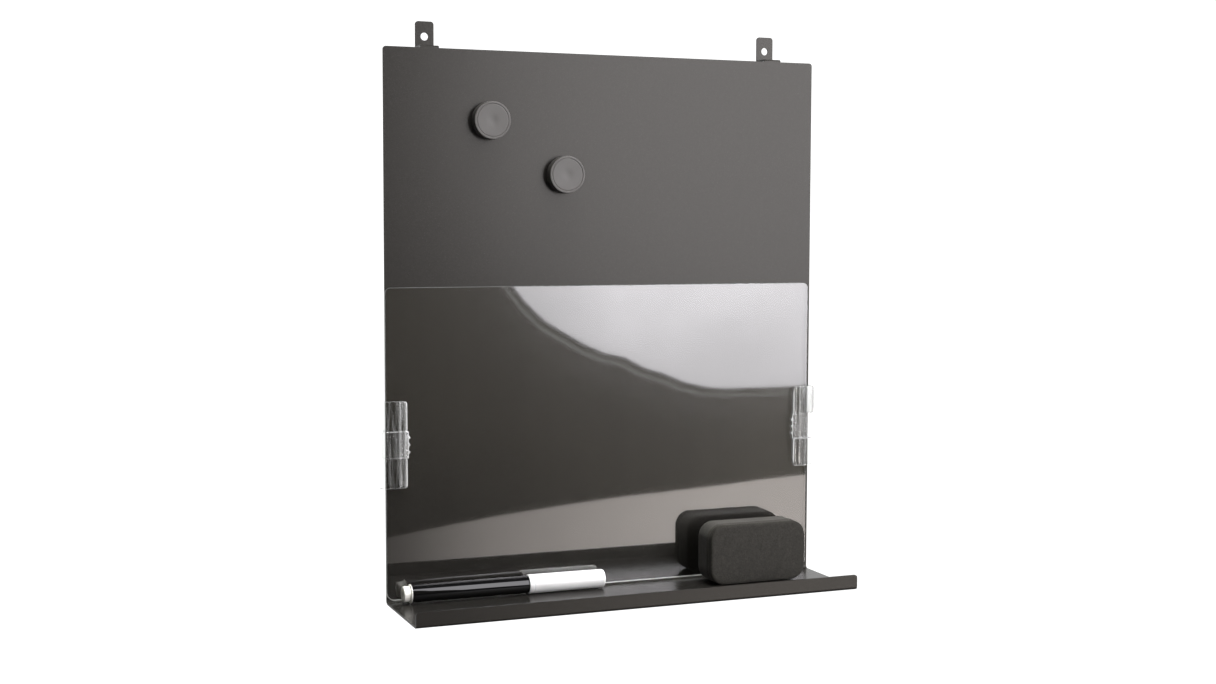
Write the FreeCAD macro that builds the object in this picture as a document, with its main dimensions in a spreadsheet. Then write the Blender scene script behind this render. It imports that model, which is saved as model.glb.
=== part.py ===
import FreeCAD, Part

import os

import Sketcher

# Wall-hung magnetic board with a folded tray, a clear writing panel held by two clear clips,
# two round magnets, a capped marker and an eraser.
#
# Row frame, in millimetres: the origin is midway between the two hanger holes, on the wall
# plane that the tabs' rear faces touch. X runs to the right, Y into the wall and Z up.

# Driving dimensions
SIZES = {
    # folded steel board
    "board_width": 300.0,
    "board_height": 350.0,
    "sheet_thickness": 1.2,
    "tray_depth": 70.0,
    "lip_height": 10.0,
    "back_bend_radius": 2.0,
    "lip_bend_radius": 1.0,
    "sheet_corner_radius": 2.0,
    # hanger tabs
    "wall_gap": 12.0,
    "tab_width": 12.0,
    "tab_inset": 30.0,
    "tab_bend_radius": 0.4,
    "tab_root_depth": 4.0,
    "tab_corner_radius": 2.0,
    "hole_diameter": 5.0,
    "hole_rise": 8.0,
    "hole_to_tab_end": 9.5,
    # rear bumpers
    "bumper_diameter": 12.0,
    "bumper_inset": 20.0,
    "bumper_rise": 20.0,
    "bumper_round": 1.5,
    # clearances shared by all pieces
    "loose_gap": 0.3,
    "press_gap": 0.05,
    "cut_overrun": 2.0,
    "find_distance": 0.02,
    # clear writing panel
    "panel_height": 198.0,
    "panel_thickness": 2.0,
    "panel_left_overhang": 0.3,
    "panel_right_margin": 2.3,
    "panel_top_radius": 3.5,
    "panel_bottom_radius": 5.5,
    # clear edge clips
    "clip_height": 55.0,
    "clip_rise": 74.0,
    "clip_reach": 13.3,
    "clip_rear_cutback": 2.5,
    "clip_wall": 0.9,
    "clip_corner_radius": 2.0,
    "collar_height": 17.3,
    "collar_proud": 0.5,
    "collar_extra_reach": 0.7,
    "tooth_radius": 1.0,
    "tooth_pitch": 4.6,
    # round magnets
    "magnet_diameter": 24.0,
    "magnet_thickness": 7.0,
    "magnet_rim_width": 1.5,
    "magnet_dish_depth": 0.5,
    "magnet_dimple_diameter": 5.0,
    "magnet_dimple_depth": 0.35,
    "magnet_edge_round": 0.9,
    "magnet_seat_gap": 0.1,
    "core_diameter": 18.0,
    "core_thickness": 3.0,
    "upper_magnet_inset": 69.0,
    "upper_magnet_drop": 44.4,
    "lower_magnet_inset": 119.4,
    "lower_magnet_drop": 78.0,
    # marker
    "marker_inset": 8.1,
    "barrel_diameter": 11.2,
    "barrel_length": 77.5,
    "neck_length": 12.0,
    "neck_step": 0.4,
    "neck_wall": 0.6,
    "plug_knob_length": 4.5,
    "plug_knob_step": 1.0,
    "plug_knob_wall": 1.5,
    "plug_recess_depth": 2.0,
    "plug_flange_step": 0.4,
    "plug_flange_thickness": 0.8,
    "plug_spigot_length": 9.0,
    "holder_spigot_length": 9.0,
    "holder_flange_thickness": 1.5,
    "holder_cone_length": 9.0,
    "nib_diameter": 4.4,
    "nib_stick_out": 6.0,
    "nib_round_length": 2.2,
    "cap_length": 52.6,
    "cap_wall": 0.7,
    "cap_inner_step": 0.5,
    "cap_end_wall": 1.6,
    "cap_end_taper": 0.3,
    "cap_edge_round": 1.4,
    "cap_ring_distance": 2.6,
    "cap_ring_width": 0.9,
    "cap_ring_depth": 0.25,
    # eraser
    "eraser_length": 70.0,
    "eraser_height": 40.0,
    "eraser_foam_depth": 15.5,
    "eraser_felt_depth": 6.0,
    "eraser_corner_radius": 10.0,
    "eraser_edge_round": 1.2,
    "eraser_right_margin": 18.5,
    "eraser_panel_gap": 8.2,
}

# Shares of the sizes that they follow
SHARES = {
    "holder_cone_root_share": 0.84,
    "holder_cone_tip_share": 1.35,
    "nib_tip_share": 0.45,
}

# Places that several pieces share, as expressions on the sheet
HALF_WIDTH = "(Sizes.board_width / 2)"
BOARD_BACK = "(-Sizes.wall_gap)"
BOARD_FRONT = "(-Sizes.wall_gap - Sizes.sheet_thickness)"
BOARD_TOP = "(-Sizes.hole_rise)"
TRAY_UNDERSIDE = "(-Sizes.hole_rise - Sizes.board_height)"
TRAY_FLOOR = f"({TRAY_UNDERSIDE} + Sizes.sheet_thickness)"
PANEL_BACK = f"({BOARD_FRONT} - Sizes.loose_gap)"
PANEL_FRONT = f"({PANEL_BACK} - Sizes.panel_thickness)"

document = FreeCAD.newDocument("magnetic_board")
sheet = document.addObject("Spreadsheet::Sheet", "Sizes")


def fill_sheet():
    """Writes each driving dimension and share into the sheet as plain text with an alias."""
    for row, (alias, value) in enumerate({**SIZES, **SHARES}.items(), start=1):
        sheet.set(f"A{row}", alias)
        sheet.set(f"B{row}", str(value))
        sheet.setAlias(f"B{row}", alias)
    document.recompute()


def value_of(expression):
    """The number that an expression on the sheet stands for."""
    return float(sheet.evalExpression(expression))


# Building blocks

def new_body(label, x="0", y="0", z="0"):
    """A sub-part with its own label, placed by three expressions."""
    body = document.addObject("PartDesign::Body", label)
    body.Label = label
    body.setExpression("Placement.Base.x", x)
    body.setExpression("Placement.Base.y", y)
    body.setExpression("Placement.Base.z", z)
    return body


def sketch_on(body, name, role, shift="0"):
    """A sketch on one of the body's own origin planes, moved along that plane's normal."""
    plane = next(item for item in body.Origin.OriginFeatures if item.Role == role)
    sketch = body.newObject("Sketcher::SketchObject", name)
    sketch.AttachmentSupport = [(plane, "")]
    sketch.MapMode = "FlatFace"
    sketch.setExpression("AttachmentOffset.Base.z", shift)
    return sketch


def bind(sketch, kind, geometry, point, expression):
    """Ties one coordinate of a sketch point to the sheet, measured from the sketch's origin."""
    value = value_of(expression)
    index = sketch.addConstraint(Sketcher.Constraint(kind, -1, 1, geometry, point, value))
    sketch.setExpression(f"Constraints[{index}]", expression)


def outline(sketch, corners):
    """A closed outline of straight lines through corners given as pairs of expressions."""
    places = [FreeCAD.Vector(value_of(x), value_of(y), 0) for x, y in corners]
    for index, start in enumerate(places):
        sketch.addGeometry(Part.LineSegment(start, places[(index + 1) % len(places)]), False)
    for index, (x, y) in enumerate(corners):
        following = (index + 1) % len(corners)
        sketch.addConstraint(Sketcher.Constraint("Coincident", index, 2, following, 1))
        bind(sketch, "DistanceX", index, 1, x)
        bind(sketch, "DistanceY", index, 1, y)


def circle(sketch, x, y, radius):
    """A circle whose centre and radius are expressions."""
    centre = FreeCAD.Vector(value_of(x), value_of(y), 0)
    normal = FreeCAD.Vector(0, 0, 1)
    index = sketch.addGeometry(Part.Circle(centre, normal, value_of(radius)), False)
    bind(sketch, "DistanceX", index, 3, x)
    bind(sketch, "DistanceY", index, 3, y)
    constraint = sketch.addConstraint(Sketcher.Constraint("Radius", index, value_of(radius)))
    sketch.setExpression(f"Constraints[{constraint}]", radius)


def pad(body, name, sketch, length, both_ways=False):
    """Thickens a sketch into a solid, along its normal or half to each side of it."""
    feature = body.newObject("PartDesign::Pad", name)
    feature.Profile = sketch
    feature.setExpression("Length", length)
    feature.Midplane = both_ways
    return feature


def revolve(body, name, sketch, axis):
    """Turns a sketch once round one of its own axes."""
    feature = body.newObject("PartDesign::Revolution", name)
    feature.Profile = sketch
    feature.ReferenceAxis = (sketch, [axis])
    feature.Angle = 360
    return feature


def block(body, name, low, size, cut=False):
    """An added or cut box from its lowest corner and its three sides, as expressions."""
    kind = "PartDesign::SubtractiveBox" if cut else "PartDesign::AdditiveBox"
    feature = body.newObject(kind, name)
    for side, letter, place, length in zip(("Length", "Width", "Height"), "xyz", low, size):
        feature.setExpression(f"Placement.Base.{letter}", place)
        feature.setExpression(side, length)
    return feature


def rod(body, name, start, radius, length, along_wall_normal=False, cut=False):
    """An added or cut cylinder that rises from start, or that runs along Y."""
    kind = "PartDesign::SubtractiveCylinder" if cut else "PartDesign::AdditiveCylinder"
    feature = body.newObject(kind, name)
    if along_wall_normal:
        turn = FreeCAD.Rotation(FreeCAD.Vector(1, 0, 0), -90)
        feature.Placement = FreeCAD.Placement(FreeCAD.Vector(), turn)
    for letter, place in zip("xyz", start):
        feature.setExpression(f"Placement.Base.{letter}", place)
    feature.setExpression("Radius", radius)
    feature.setExpression("Height", length)
    return feature


def straight_edges(feature, direction, places):
    """Names of the straight edges along X, Y or Z that cross one of the places.

    A place is a pair of expressions, in the two other directions, in the order X, Y, Z.
    """
    document.recompute()
    across = [axis for axis in range(3) if axis != "XYZ".index(direction)]
    targets = [[value_of(expression) for expression in place] for place in places]
    near = value_of("Sizes.find_distance")
    names = []
    for number, edge in enumerate(feature.Shape.Edges, start=1):
        ends = [vertex.Point for vertex in edge.Vertexes]
        if len(ends) != 2 or not isinstance(edge.Curve, Part.Line):
            continue
        for target in targets:
            misses = [abs(end[axis] - goal) for end in ends for axis, goal in zip(across, target)]
            if max(misses) < near:
                names.append(f"Edge{number}")
                break
    return names


def ring_edges(feature, axis_letter, place, radius):
    """Names of the full circles of one radius that lie at one place along X or Y."""
    document.recompute()
    axis = "XYZ".index(axis_letter)
    near = value_of("Sizes.find_distance")
    names = []
    for number, edge in enumerate(feature.Shape.Edges, start=1):
        if not isinstance(edge.Curve, Part.Circle):
            continue
        at_place = abs(edge.Curve.Center[axis] - value_of(place)) < near
        if at_place and abs(edge.Curve.Radius - value_of(radius)) < near:
            names.append(f"Edge{number}")
    return names


def rim_edges(feature, depth):
    """Names of the edges that lie wholly in the plane across Y at one depth."""
    document.recompute()
    near = value_of("Sizes.find_distance")
    goal = value_of(depth)
    names = []
    for number, edge in enumerate(feature.Shape.Edges, start=1):
        box = edge.BoundBox
        if abs(box.YMin - goal) < near and abs(box.YMax - goal) < near:
            names.append(f"Edge{number}")
    return names


def fillet(body, name, base, edges, radius):
    """Rounds the named edges of the feature before it."""
    if not edges:
        raise RuntimeError(f"{body.Label}: {name} found no edges")
    feature = body.newObject("PartDesign::Fillet", name)
    feature.Base = (base, edges)
    feature.setExpression("Radius", radius)
    return feature


# Folded steel board with its tray, lip and hanger tabs

LIP_FRONT = f"({BOARD_FRONT} - Sizes.tray_depth)"
LIP_BACK = f"({LIP_FRONT} + Sizes.sheet_thickness)"
LIP_TOP = f"({TRAY_UNDERSIDE} + Sizes.lip_height)"
TAB_FRONT = "(-Sizes.sheet_thickness)"
TAB_END = "Sizes.hole_to_tab_end"
TAB_CENTRE = f"({HALF_WIDTH} - Sizes.tab_inset)"
WEB_UNDERSIDE = f"({BOARD_TOP} + Sizes.tab_bend_radius)"
WEB_TOP = f"({WEB_UNDERSIDE} + Sizes.sheet_thickness)"
SIDES = (("left", -1), ("right", 1))


def make_board():
    body = new_body("board")
    profile = sketch_on(body, "side_profile", "YZ_Plane")
    outline(profile, [
        (BOARD_BACK, TRAY_UNDERSIDE),
        (BOARD_BACK, BOARD_TOP),
        (BOARD_FRONT, BOARD_TOP),
        (BOARD_FRONT, TRAY_FLOOR),
        (LIP_BACK, TRAY_FLOOR),
        (LIP_BACK, LIP_TOP),
        (LIP_FRONT, LIP_TOP),
        (LIP_FRONT, TRAY_UNDERSIDE),
    ])
    feature = pad(body, "folded_sheet", profile, "Sizes.board_width", both_ways=True)
    folds = (
        ("back_fold", (BOARD_FRONT, TRAY_FLOOR), (BOARD_BACK, TRAY_UNDERSIDE), "Sizes.back_bend_radius"),
        ("lip_fold", (LIP_BACK, TRAY_FLOOR), (LIP_FRONT, TRAY_UNDERSIDE), "Sizes.lip_bend_radius"),
    )
    for name, inside, outside, radius in folds:
        edges = straight_edges(feature, "X", [inside])
        feature = fillet(body, f"{name}_inside", feature, edges, radius)
        edges = straight_edges(feature, "X", [outside])
        feature = fillet(body, f"{name}_outside", feature, edges, f"{radius} + Sizes.sheet_thickness")
    corners = [
        (f"{sign} * {HALF_WIDTH}", height)
        for _, sign in SIDES
        for height in (BOARD_TOP, LIP_TOP)
    ]
    rounded = straight_edges(feature, "Y", corners)
    feature = fillet(body, "sheet_corners", feature, rounded, "Sizes.sheet_corner_radius")
    return add_tabs(body)


def add_tabs(body):
    """Tabs cut from the same sheet, stepped back to the wall, each with a round screw hole."""
    root = f"({BOARD_TOP} - Sizes.tab_root_depth)"
    for side, sign in SIDES:
        centre = f"{sign} * {TAB_CENTRE}"
        profile = sketch_on(body, f"{side}_tab_profile", "YZ_Plane", centre)
        outline(profile, [
            (BOARD_BACK, root),
            (BOARD_BACK, WEB_UNDERSIDE),
            ("0", WEB_UNDERSIDE),
            ("0", TAB_END),
            (TAB_FRONT, TAB_END),
            (TAB_FRONT, WEB_TOP),
            (BOARD_FRONT, WEB_TOP),
            (BOARD_FRONT, root),
        ])
        feature = pad(body, f"{side}_tab", profile, "Sizes.tab_width", both_ways=True)
    inside = straight_edges(feature, "X", [(BOARD_BACK, WEB_UNDERSIDE), (TAB_FRONT, WEB_TOP)])
    feature = fillet(body, "tab_folds_inside", feature, inside, "Sizes.tab_bend_radius")
    outside = straight_edges(feature, "X", [(BOARD_FRONT, WEB_TOP), ("0", WEB_UNDERSIDE)])
    outer_radius = "Sizes.tab_bend_radius + Sizes.sheet_thickness"
    feature = fillet(body, "tab_folds_outside", feature, outside, outer_radius)
    ends = [
        (f"{sign} * {TAB_CENTRE} + {edge} * Sizes.tab_width / 2", TAB_END)
        for _, sign in SIDES
        for _, edge in SIDES
    ]
    rounded = straight_edges(feature, "Y", ends)
    feature = fillet(body, "tab_corners", feature, rounded, "Sizes.tab_corner_radius")
    for side, sign in SIDES:
        hole = sketch_on(body, f"{side}_hole_circle", "XZ_Plane")
        circle(hole, f"{sign} * {TAB_CENTRE}", "0", "Sizes.hole_diameter / 2")
        feature = body.newObject("PartDesign::Pocket", f"{side}_hole")
        feature.Profile = hole
        feature.Type = "ThroughAll"
        feature.Midplane = True
    return body


def make_bumper(side, sign):
    """A round rubber foot behind a lower corner, as thick as the board's distance from the wall."""
    x = f"{sign} * ({HALF_WIDTH} - Sizes.bumper_inset)"
    z = f"{TRAY_UNDERSIDE} + Sizes.bumper_rise"
    body = new_body(f"rear_bumper_{side}", x, "0", z)
    disc = sketch_on(body, f"bumper_{side}_circle", "XZ_Plane")
    circle(disc, "0", "0", "Sizes.bumper_diameter / 2")
    feature = pad(body, f"bumper_{side}_foot", disc, "Sizes.wall_gap")
    rim = ring_edges(feature, "Y", "0", "Sizes.bumper_diameter / 2")
    fillet(body, f"bumper_{side}_rim", feature, rim, "Sizes.bumper_round")
    return body


# Clear writing panel, which stands on the bend between board and tray

PANEL_LEFT = f"(-{HALF_WIDTH} - Sizes.panel_left_overhang)"
PANEL_RIGHT = f"({HALF_WIDTH} - Sizes.panel_right_margin)"
BEND_DROP = "sqrt(Sizes.back_bend_radius ^ 2 - (Sizes.back_bend_radius - Sizes.loose_gap) ^ 2)"
PANEL_BOTTOM = f"({TRAY_FLOOR} + Sizes.back_bend_radius - {BEND_DROP} + Sizes.loose_gap)"


def make_panel():
    body = new_body("writing_panel", PANEL_LEFT, PANEL_FRONT, PANEL_BOTTOM)
    width = f"{PANEL_RIGHT} - {PANEL_LEFT}"
    size = (width, "Sizes.panel_thickness", "Sizes.panel_height")
    feature = block(body, "clear_sheet", ("0", "0", "0"), size)
    top = straight_edges(feature, "Y", [("0", "Sizes.panel_height"), (width, "Sizes.panel_height")])
    feature = fillet(body, "top_corners", feature, top, "Sizes.panel_top_radius")
    bottom = straight_edges(feature, "Y", [("0", "0"), (width, "0")])
    fillet(body, "bottom_corners", feature, bottom, "Sizes.panel_bottom_radius")
    return body


# Clear clips that wrap the board's and the panel's side edges

CLIP_MIDDLE = f"(({BOARD_BACK} + {PANEL_FRONT}) / 2)"
CHANNEL_HALF = f"(({BOARD_BACK} - {PANEL_FRONT}) / 2 + Sizes.loose_gap)"
CLIP_HALF = f"({CHANNEL_HALF} + Sizes.clip_wall)"
COLLAR_HALF = f"({CLIP_HALF} + Sizes.collar_proud)"
CLIP_INNER = f"({HALF_WIDTH} - Sizes.clip_reach)"
COLLAR_INNER = f"({CLIP_INNER} - Sizes.collar_extra_reach)"


def side_span(sign, inner, outer):
    """Low X and length of a stretch between two distances from the board's centre line."""
    low = inner if sign > 0 else f"-{outer}"
    return low, f"{outer} - {inner}"


def make_clip(side, sign):
    """A clear channel with a round outer bend, a collar round its middle and three grip teeth."""
    body = new_body(f"{side}_clip", "0", "0", f"{TRAY_UNDERSIDE} + Sizes.clip_rise")
    edge = f"{sign} * {HALF_WIDTH}"
    collar_low = "((Sizes.clip_height - Sizes.collar_height) / 2)"
    low, length = side_span(sign, CLIP_INNER, HALF_WIDTH)
    block(
        body, f"{side}_flanges",
        (low, f"{CLIP_MIDDLE} - {CLIP_HALF}", "0"),
        (length, f"2 * {CLIP_HALF}", "Sizes.clip_height"),
    )
    rod(body, f"{side}_bend", (edge, CLIP_MIDDLE, "0"), CLIP_HALF, "Sizes.clip_height")
    low, length = side_span(sign, COLLAR_INNER, HALF_WIDTH)
    block(
        body, f"{side}_collar",
        (low, f"{CLIP_MIDDLE} - {COLLAR_HALF}", collar_low),
        (length, f"2 * {COLLAR_HALF}", "Sizes.collar_height"),
    )
    start = (edge, CLIP_MIDDLE, collar_low)
    rod(body, f"{side}_collar_bend", start, COLLAR_HALF, "Sizes.collar_height")
    for name, step in (("lower", -1), ("middle", 0), ("upper", 1)):
        height = f"Sizes.clip_height / 2 + {step} * Sizes.tooth_pitch"
        start = (f"{sign} * {COLLAR_INNER}", f"{CLIP_MIDDLE} - {COLLAR_HALF}", height)
        tooth = f"{side}_{name}_tooth"
        rod(body, tooth, start, "Sizes.tooth_radius", COLLAR_HALF, along_wall_normal=True)
    inner_end = f"({COLLAR_INNER} - Sizes.tooth_radius - Sizes.cut_overrun)"
    low, length = side_span(sign, inner_end, HALF_WIDTH)
    block(
        body, f"{side}_channel",
        (low, f"{CLIP_MIDDLE} - {CHANNEL_HALF}", "-Sizes.cut_overrun"),
        (length, f"2 * {CHANNEL_HALF}", "Sizes.clip_height + 2 * Sizes.cut_overrun"),
        cut=True,
    )
    rod(
        body, f"{side}_channel_bend",
        (edge, CLIP_MIDDLE, "-Sizes.cut_overrun"), CHANNEL_HALF,
        "Sizes.clip_height + 2 * Sizes.cut_overrun",
        cut=True,
    )
    rear_inner = f"({CLIP_INNER} + Sizes.clip_rear_cutback)"
    low, length = side_span(sign, inner_end, rear_inner)
    feature = block(
        body, f"{side}_rear_flange_cut",
        (low, CLIP_MIDDLE, "-Sizes.cut_overrun"),
        (length, f"{COLLAR_HALF} + Sizes.cut_overrun", "Sizes.clip_height + 2 * Sizes.cut_overrun"),
        cut=True,
    )
    corners = [
        (f"{sign} * {inner}", height)
        for inner in (CLIP_INNER, rear_inner)
        for height in ("0", "Sizes.clip_height")
    ]
    rounded = straight_edges(feature, "Y", corners)
    fillet(body, f"{side}_flange_corners", feature, rounded, "Sizes.clip_corner_radius")
    return body


# Round magnets

MAGNET_FACE = "(-Sizes.magnet_thickness)"
DISH_FLOOR = f"({MAGNET_FACE} + Sizes.magnet_dish_depth)"
DISH_RADIUS = "(Sizes.magnet_diameter / 2 - Sizes.magnet_rim_width)"
CORE_FACE = "(-Sizes.core_thickness)"


def make_magnet(name, inset, drop):
    """A plastic cap with a rim, a shallow dish and a dimple, round a flat magnet disc."""
    place = (
        f"-{HALF_WIDTH} + {inset}",
        f"{BOARD_FRONT} - Sizes.magnet_seat_gap",
        f"{BOARD_TOP} - {drop}",
    )
    cap = new_body(f"{name}_magnet_cap", *place)
    profile = sketch_on(cap, f"{name}_cap_profile", "XY_Plane")
    pocket_radius = "Sizes.core_diameter / 2 + Sizes.press_gap"
    outline(profile, [
        ("0", CORE_FACE),
        (pocket_radius, CORE_FACE),
        (pocket_radius, "0"),
        ("Sizes.magnet_diameter / 2", "0"),
        ("Sizes.magnet_diameter / 2", MAGNET_FACE),
        (DISH_RADIUS, MAGNET_FACE),
        (f"{DISH_RADIUS} - Sizes.magnet_dish_depth", DISH_FLOOR),
        ("Sizes.magnet_dimple_diameter / 2", DISH_FLOOR),
        ("0", f"{DISH_FLOOR} + Sizes.magnet_dimple_depth"),
    ])
    feature = revolve(cap, f"{name}_cap_turn", profile, "V_Axis")
    rim = ring_edges(feature, "Y", MAGNET_FACE, "Sizes.magnet_diameter / 2")
    fillet(cap, f"{name}_cap_rim", feature, rim, "Sizes.magnet_edge_round")

    disc = new_body(f"{name}_magnet_disc", *place)
    disc_circle = sketch_on(disc, f"{name}_disc_circle", "XZ_Plane")
    circle(disc_circle, "0", "0", "Sizes.core_diameter / 2")
    pad(disc, f"{name}_disc_pad", disc_circle, "Sizes.core_thickness")
    return [cap, disc]


# Marker, which lies along X on the tray floor, with its profile measured from the plug's end

BARREL_RADIUS = "(Sizes.barrel_diameter / 2)"
NECK_RADIUS = f"({BARREL_RADIUS} - Sizes.neck_step)"
BARREL_BORE = f"({NECK_RADIUS} - Sizes.neck_wall)"
PRESSED_RADIUS = f"({BARREL_BORE} - Sizes.press_gap)"
CAP_BORE = f"({NECK_RADIUS} + Sizes.loose_gap)"
CAP_RADIUS = f"({CAP_BORE} + Sizes.cap_wall)"
NIB_RADIUS = "(Sizes.nib_diameter / 2)"
BARREL_START = "(Sizes.plug_knob_length + Sizes.plug_flange_thickness)"
SHOULDER = f"({BARREL_START} + Sizes.barrel_length)"
NECK_END = f"({SHOULDER} + Sizes.neck_length)"
HOLDER_START = f"({NECK_END} - Sizes.holder_spigot_length)"
CONE_START = f"({NECK_END} + Sizes.holder_flange_thickness)"
CONE_END = f"({CONE_START} + Sizes.holder_cone_length)"
NIB_TIP = f"({CONE_END} + Sizes.nib_stick_out)"
CAP_RIM = f"({SHOULDER} + Sizes.loose_gap)"
CAP_END = f"({CAP_RIM} + Sizes.cap_length)"
MARKER_PLACE = (
    f"-{HALF_WIDTH} + Sizes.marker_inset",
    f"{PANEL_FRONT} - Sizes.loose_gap - {CAP_RADIUS}",
    f"{TRAY_FLOOR} + Sizes.loose_gap + {CAP_RADIUS}",
)


def turned_piece(label, corners):
    """A piece turned about the marker's axis, from corners given as distance and radius."""
    body = new_body(label, *MARKER_PLACE)
    profile = sketch_on(body, f"{label}_profile", "XZ_Plane")
    outline(profile, corners)
    feature = revolve(body, f"{label}_turn", profile, "H_Axis")
    return body, feature


def make_end_plug():
    flange_radius = f"({BARREL_RADIUS} + Sizes.plug_flange_step)"
    knob_radius = f"({flange_radius} - Sizes.plug_knob_step)"
    recess_radius = f"({knob_radius} - Sizes.plug_knob_wall)"
    spigot_end = f"{BARREL_START} + Sizes.plug_spigot_length"
    return turned_piece("marker_end_plug", [
        ("Sizes.plug_recess_depth", "0"),
        ("Sizes.plug_recess_depth", recess_radius),
        ("0", recess_radius),
        ("0", knob_radius),
        ("Sizes.plug_knob_length", knob_radius),
        ("Sizes.plug_knob_length", flange_radius),
        (BARREL_START, flange_radius),
        (BARREL_START, PRESSED_RADIUS),
        (spigot_end, PRESSED_RADIUS),
        (spigot_end, "0"),
    ])[0]


def make_barrel():
    return turned_piece("marker_barrel", [
        (BARREL_START, BARREL_BORE),
        (BARREL_START, BARREL_RADIUS),
        (SHOULDER, BARREL_RADIUS),
        (SHOULDER, NECK_RADIUS),
        (NECK_END, NECK_RADIUS),
        (NECK_END, BARREL_BORE),
    ])[0]


def make_reservoir():
    """The ink-soaked fibre rod between the plug's spigot and the nib's rear end."""
    start = f"{BARREL_START} + Sizes.plug_spigot_length"
    radius = f"{BARREL_BORE} - Sizes.loose_gap"
    return turned_piece("marker_ink_reservoir", [
        (start, "0"),
        (start, radius),
        (HOLDER_START, radius),
        (HOLDER_START, "0"),
    ])[0]


def make_nib_holder():
    bore = f"{NIB_RADIUS} + Sizes.press_gap"
    return turned_piece("marker_nib_holder", [
        (HOLDER_START, bore),
        (HOLDER_START, PRESSED_RADIUS),
        (NECK_END, PRESSED_RADIUS),
        (NECK_END, NECK_RADIUS),
        (CONE_START, NECK_RADIUS),
        (CONE_START, f"{NECK_RADIUS} * Sizes.holder_cone_root_share"),
        (CONE_END, f"{NIB_RADIUS} * Sizes.holder_cone_tip_share"),
        (CONE_END, bore),
    ])[0]


def make_nib():
    return turned_piece("marker_nib", [
        (HOLDER_START, "0"),
        (HOLDER_START, NIB_RADIUS),
        (f"{NIB_TIP} - Sizes.nib_round_length", NIB_RADIUS),
        (NIB_TIP, f"{NIB_RADIUS} * Sizes.nib_tip_share"),
        (NIB_TIP, "0"),
    ])[0]


def make_cap():
    ring_start = f"{CAP_RIM} + Sizes.cap_ring_distance"
    inner_radius = f"{CAP_BORE} - Sizes.cap_inner_step"
    inner_step = f"{CONE_START} + Sizes.loose_gap"
    inner_end = f"{CAP_END} - Sizes.cap_end_wall"
    end_radius = f"{CAP_RADIUS} - Sizes.cap_end_taper"
    body, feature = turned_piece("marker_cap", [
        (CAP_RIM, CAP_BORE),
        (CAP_RIM, CAP_RADIUS),
        (ring_start, CAP_RADIUS),
        (f"{ring_start} + Sizes.cap_ring_width / 2", f"{CAP_RADIUS} - Sizes.cap_ring_depth"),
        (f"{ring_start} + Sizes.cap_ring_width", CAP_RADIUS),
        (CAP_END, end_radius),
        (CAP_END, "0"),
        (inner_end, "0"),
        (inner_end, inner_radius),
        (inner_step, inner_radius),
        (inner_step, CAP_BORE),
    ])
    rim = ring_edges(feature, "X", CAP_END, end_radius)
    fillet(body, "marker_cap_far_rim", feature, rim, "Sizes.cap_edge_round")
    return body


# Eraser, a foam block with a felt wiping pad on its front

ERASER_LEFT = f"({HALF_WIDTH} - Sizes.eraser_right_margin - Sizes.eraser_length)"
ERASER_BACK = f"({PANEL_FRONT} - Sizes.eraser_panel_gap)"
FELT_BACK = f"({ERASER_BACK} - Sizes.eraser_foam_depth)"


def eraser_layer(label, front, depth, rounded_face):
    """One layer of the eraser, with the eraser's round corners and one rounded outer face."""
    body = new_body(label, ERASER_LEFT, front, f"{TRAY_FLOOR} + Sizes.loose_gap")
    size = ("Sizes.eraser_length", depth, "Sizes.eraser_height")
    feature = block(body, f"{label}_slab", ("0", "0", "0"), size)
    corners = [(x, z) for x in ("0", "Sizes.eraser_length") for z in ("0", "Sizes.eraser_height")]
    rounded = straight_edges(feature, "Y", corners)
    feature = fillet(body, f"{label}_corners", feature, rounded, "Sizes.eraser_corner_radius")
    rim = rim_edges(feature, rounded_face)
    fillet(body, f"{label}_rim", feature, rim, "Sizes.eraser_edge_round")
    return body


def make_eraser():
    foam_depth = "Sizes.eraser_foam_depth"
    foam = eraser_layer("eraser_foam_block", FELT_BACK, foam_depth, rounded_face=foam_depth)
    felt_depth = "Sizes.eraser_felt_depth"
    felt_front = f"{FELT_BACK} - {felt_depth}"
    felt = eraser_layer("eraser_felt_pad", felt_front, felt_depth, rounded_face="0")
    return [foam, felt]


# The whole model, its checks and its files

def make_all():
    bodies = [make_board(), make_panel()]
    for side, sign in SIDES:
        bodies.append(make_bumper(side, sign))
        bodies.append(make_clip(side, sign))
    bodies += make_magnet("upper", "Sizes.upper_magnet_inset", "Sizes.upper_magnet_drop")
    bodies += make_magnet("lower", "Sizes.lower_magnet_inset", "Sizes.lower_magnet_drop")
    bodies += [make_end_plug(), make_barrel(), make_reservoir()]
    bodies += [make_nib_holder(), make_nib(), make_cap()]
    bodies += make_eraser()
    return bodies


def check_document(bodies):
    """Stops before anything is written if an object failed, is empty or cut nothing."""
    for item in document.Objects:
        if "Invalid" in item.State or "Error" in item.State:
            raise RuntimeError(f"{item.Label} could not be built: {item.State}")
        takes_away = "Subtractive" in item.TypeId or item.TypeId == "PartDesign::Pocket"
        if takes_away and not item.Shape.Volume < item.BaseFeature.Shape.Volume:
            raise RuntimeError(f"{item.Label} cuts nothing")
    for body in bodies:
        shape = body.Shape
        if shape.isNull() or not shape.isValid() or len(shape.Solids) != 1:
            raise RuntimeError(f"{body.Label} is not one valid solid")


def write_steps(bodies):
    os.makedirs("parts", exist_ok=True)
    for body in bodies:
        body.Shape.exportStep(f"parts/{body.Label}.step")


fill_sheet()
all_bodies = make_all()
document.recompute()
check_document(all_bodies)
write_steps(all_bodies)
for built in all_bodies:
    box = built.Shape.BoundBox
    lows = f"{box.XMin:.2f} {box.YMin:.2f} {box.ZMin:.2f}"
    highs = f"{box.XMax:.2f} {box.YMax:.2f} {box.ZMax:.2f}"
    print(f"{built.Label}: {lows} to {highs}, {built.Shape.Volume:.1f} mm3")
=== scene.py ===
import math

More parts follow.
